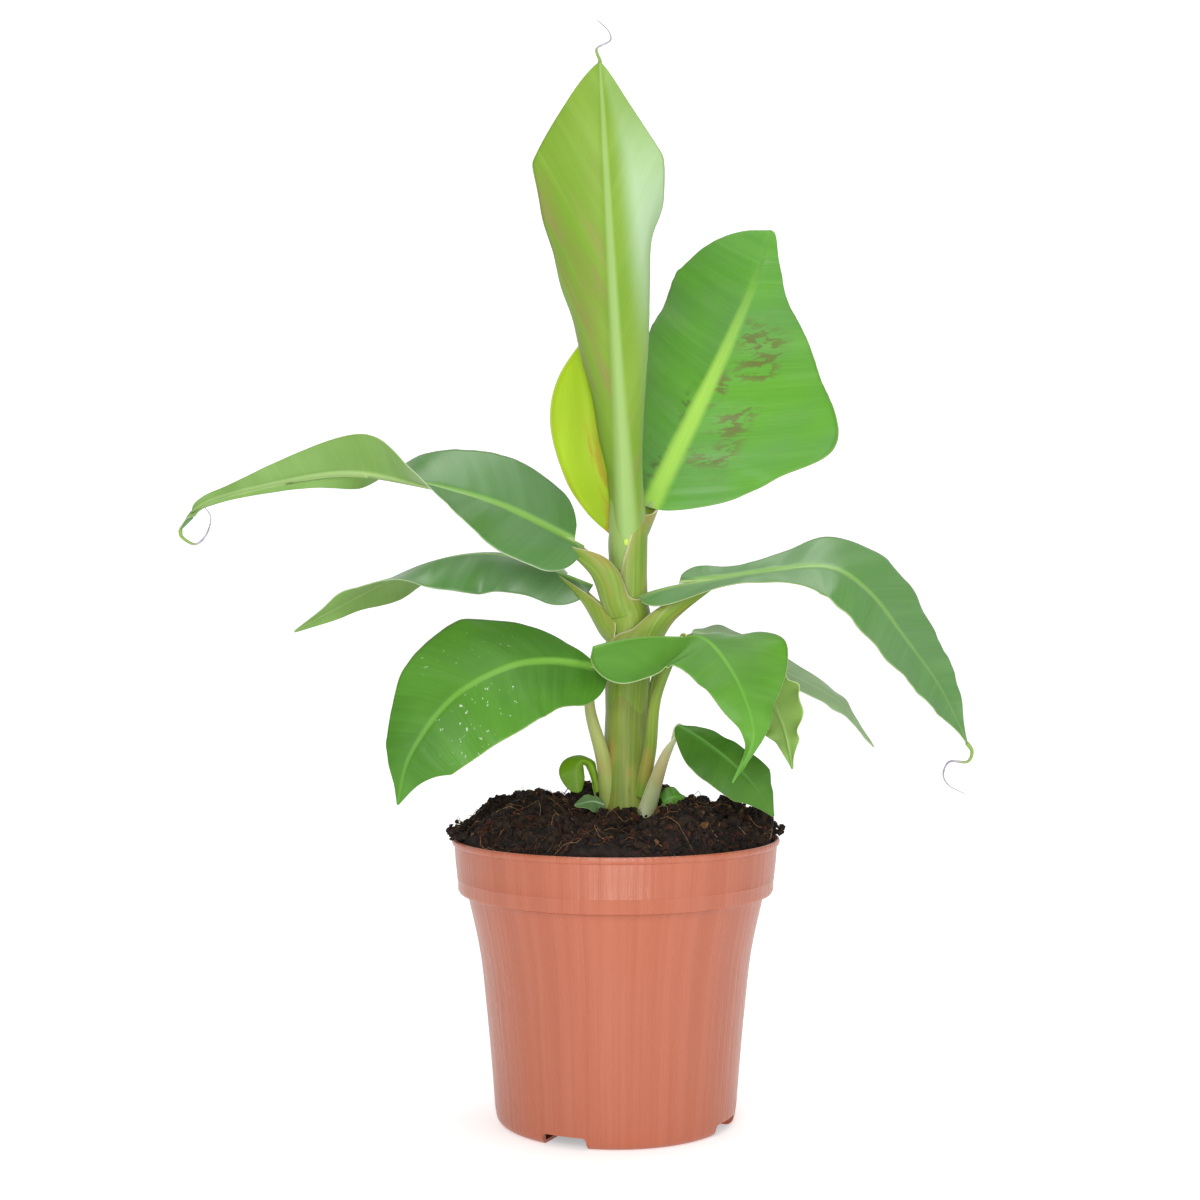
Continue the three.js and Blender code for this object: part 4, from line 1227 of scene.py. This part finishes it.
def clods(surface, rng):
    """Larger lumps of peat, and four heaps at the sides that hang a little over the rim."""
    count = 150
    angle = rng.uniform(0, 2 * math.pi, count)
    sizes = rng.uniform(0.0016, 0.0042, count)
    radius = (POT_RIM_RADIUS - POT_WALL - sizes) * rng.uniform(0.3, 1, count) ** 0.5
    places = [polar(radius, angle, surface(radius, angle) + 0.2 * sizes)]
    for azimuth, spread, heap in ((184, 13, 90), (3, 9, 40), (150, 9, 50), (20, 8, 40)):
        turn = np.radians(azimuth + spread * rng.normal(0, 0.7, heap))
        reach = POT_RIM_RADIUS + rng.uniform(-0.006, 0.0022, heap)
        rise = POT_HEIGHT + 0.0012 + rng.uniform(0, 0.004, heap)
        places.append(polar(reach, turn, rise))
        sizes = np.concatenate([sizes, rng.uniform(0.0008, 0.0018, heap)])
    tone = earth_material("soil_clods_earth", "16110e 33251c", 420)
    joined_blobs("soil_clods", np.vstack(places), sizes, rng, tone, detail=2)


def fibres(name, surface, count, lengths, thickness, tones, rng):
    """Loose coir hairs that lie on the soil and arch a little above it."""
    rows, sides = 12, 5
    vertices, faces = [], []
    angle = np.linspace(0, 2 * math.pi, sides, endpoint=False)
    for index in range(count):
        radius = 0.08 * math.sqrt(rng.uniform(0.02, 1))
        turn = rng.uniform(0, 2 * math.pi)
        place = polar(radius, turn, 0.0)[:2]
        heading = rng.uniform(0, 2 * math.pi)
        bend = rng.normal(0, 2.6)
        length = rng.uniform(*lengths)
        steps = np.linspace(0, 1, rows)
        headings = heading + bend * steps
        flat = place + np.cumsum(np.stack([np.cos(headings), np.sin(headings)], 1) * length / rows, 0)
        reach = np.hypot(flat[:, 0], flat[:, 1])
        over = np.maximum(1, reach / 0.083)
        flat /= over[:, None]
        ground = surface(np.hypot(flat[:, 0], flat[:, 1]), np.arctan2(flat[:, 1], flat[:, 0]))
        arch = rng.uniform(0.0, 0.22) * length * np.sin(math.pi * steps) ** 1.5
        line = np.column_stack([flat, ground + 0.0004 + arch])
        tangent = unit(np.gradient(line, axis=0))
        side = unit(np.cross(tangent, (0.1, 0.2, 1.0)))
        normal = np.cross(side, tangent)
        radii = thickness * (1 - 0.6 * steps)
        round_it = ring_of(normal, side, angle) * radii[:, None, None]
        vertices.append((line[:, None] + round_it).reshape(-1, 3))
        faces += loft_faces(rows, sides, index * rows * sides)
    obj = mesh_object(name, np.vstack(vertices), faces)
    return finish_piece(obj, None, "soil", earth_material(name + "_coir", tones, 500, 0.8))


# ---- stage ----


def stage():
    """A pale floor that sweeps up behind into a wall, soft lights and the camera."""
    bend, end = 0.8, 1.6
    profile = [(-3.0, 0.0), (end, 0.0)]
    for a in np.linspace(0.1, math.pi / 2, 14):
        profile.append((end + bend * math.sin(a), bend * (1 - math.cos(a))))
    profile.append((end + bend, 4.0))
    vertices = [(x, y, z) for y, z in profile for x in (-4.0, 4.0)]
    faces = [(2 * i, 2 * i + 1, 2 * i + 3, 2 * i + 2) for i in range(len(profile) - 1)]
    floor = mesh_object("floor", vertices, faces)
    white = Nodes("floor_paper", 0.9, 0.2)
    white.shader.inputs["Emission Color"].default_value = (1.0, 1.0, 1.0, 1.0)
    white.shader.inputs["Emission Strength"].default_value = 0.36
    floor.data.materials.append(white.colour((0.9, 0.9, 0.9)))

    world = bpy.data.worlds.new("studio")
    world.use_nodes = True
    world.node_tree.nodes["Background"].inputs[0].default_value = (1.0, 1.0, 1.0, 1.0)
    world.node_tree.nodes["Background"].inputs[1].default_value = 0.41
    bpy.context.scene.world = world

    for name, place, size, power in (
        ("key", (-0.35, -2.0, 1.15), 0.9, 20.0),
        ("front", (0.05, -2.2, 0.42), 0.5, 12.0),
        ("top", (0.1, 0.1, 1.9), 1.0, 12.0),
        ("fill", (1.3, -1.0, 0.7), 1.2, 6.0),
        ("low", (0.02, -0.5, 0.04), 0.07, 0.2),
    ):
        light = bpy.data.lights.new(name, "AREA")
        light.energy = power
        light.size = size
        obj = bpy.data.objects.new(name, light)
        obj.location = place
        obj.rotation_euler = (Vector((0, 0, 0.3)) - Vector(place)).to_track_quat("-Z", "Y").to_euler()
        bpy.context.scene.collection.objects.link(obj)

    data = bpy.data.cameras.new("camera")
    data.lens = CAMERA_LENS
    camera = bpy.data.objects.new("camera", data)
    camera.location = CAMERA_PLACE
    camera.rotation_euler = (math.pi / 2, 0, 0)
    bpy.context.scene.collection.objects.link(camera)
    bpy.context.scene.camera = camera
    bpy.context.scene.view_settings.view_transform = "Standard"


stage()
rng = np.random.default_rng(7)
pot()
surface = soil(rng)
crumbs(surface, rng)
clods(surface, rng)
fibres("coir_tan", surface, 150, (0.008, 0.03), 0.00015, "7a5634 b08a5c", rng)
fibres("coir_dark", surface, 260, (0.006, 0.022), 0.00022, "2e2016 5a3e28", rng)
fibres("coir_red", surface, 120, (0.006, 0.024), 0.00016, "4a2014 7a3a22", rng)
pseudostem()
young_stalk()
for name, petiole in PETIOLES.items():
    make = sheath if name in WRAPS else stalk
    make(name, petiole)
for name, leaf in LEAVES.items():
    blade(name, leaf, FINISH[name], rng)
for name, points in THREADS.items():
    thread(name, points, THREAD_LEAVES[name])
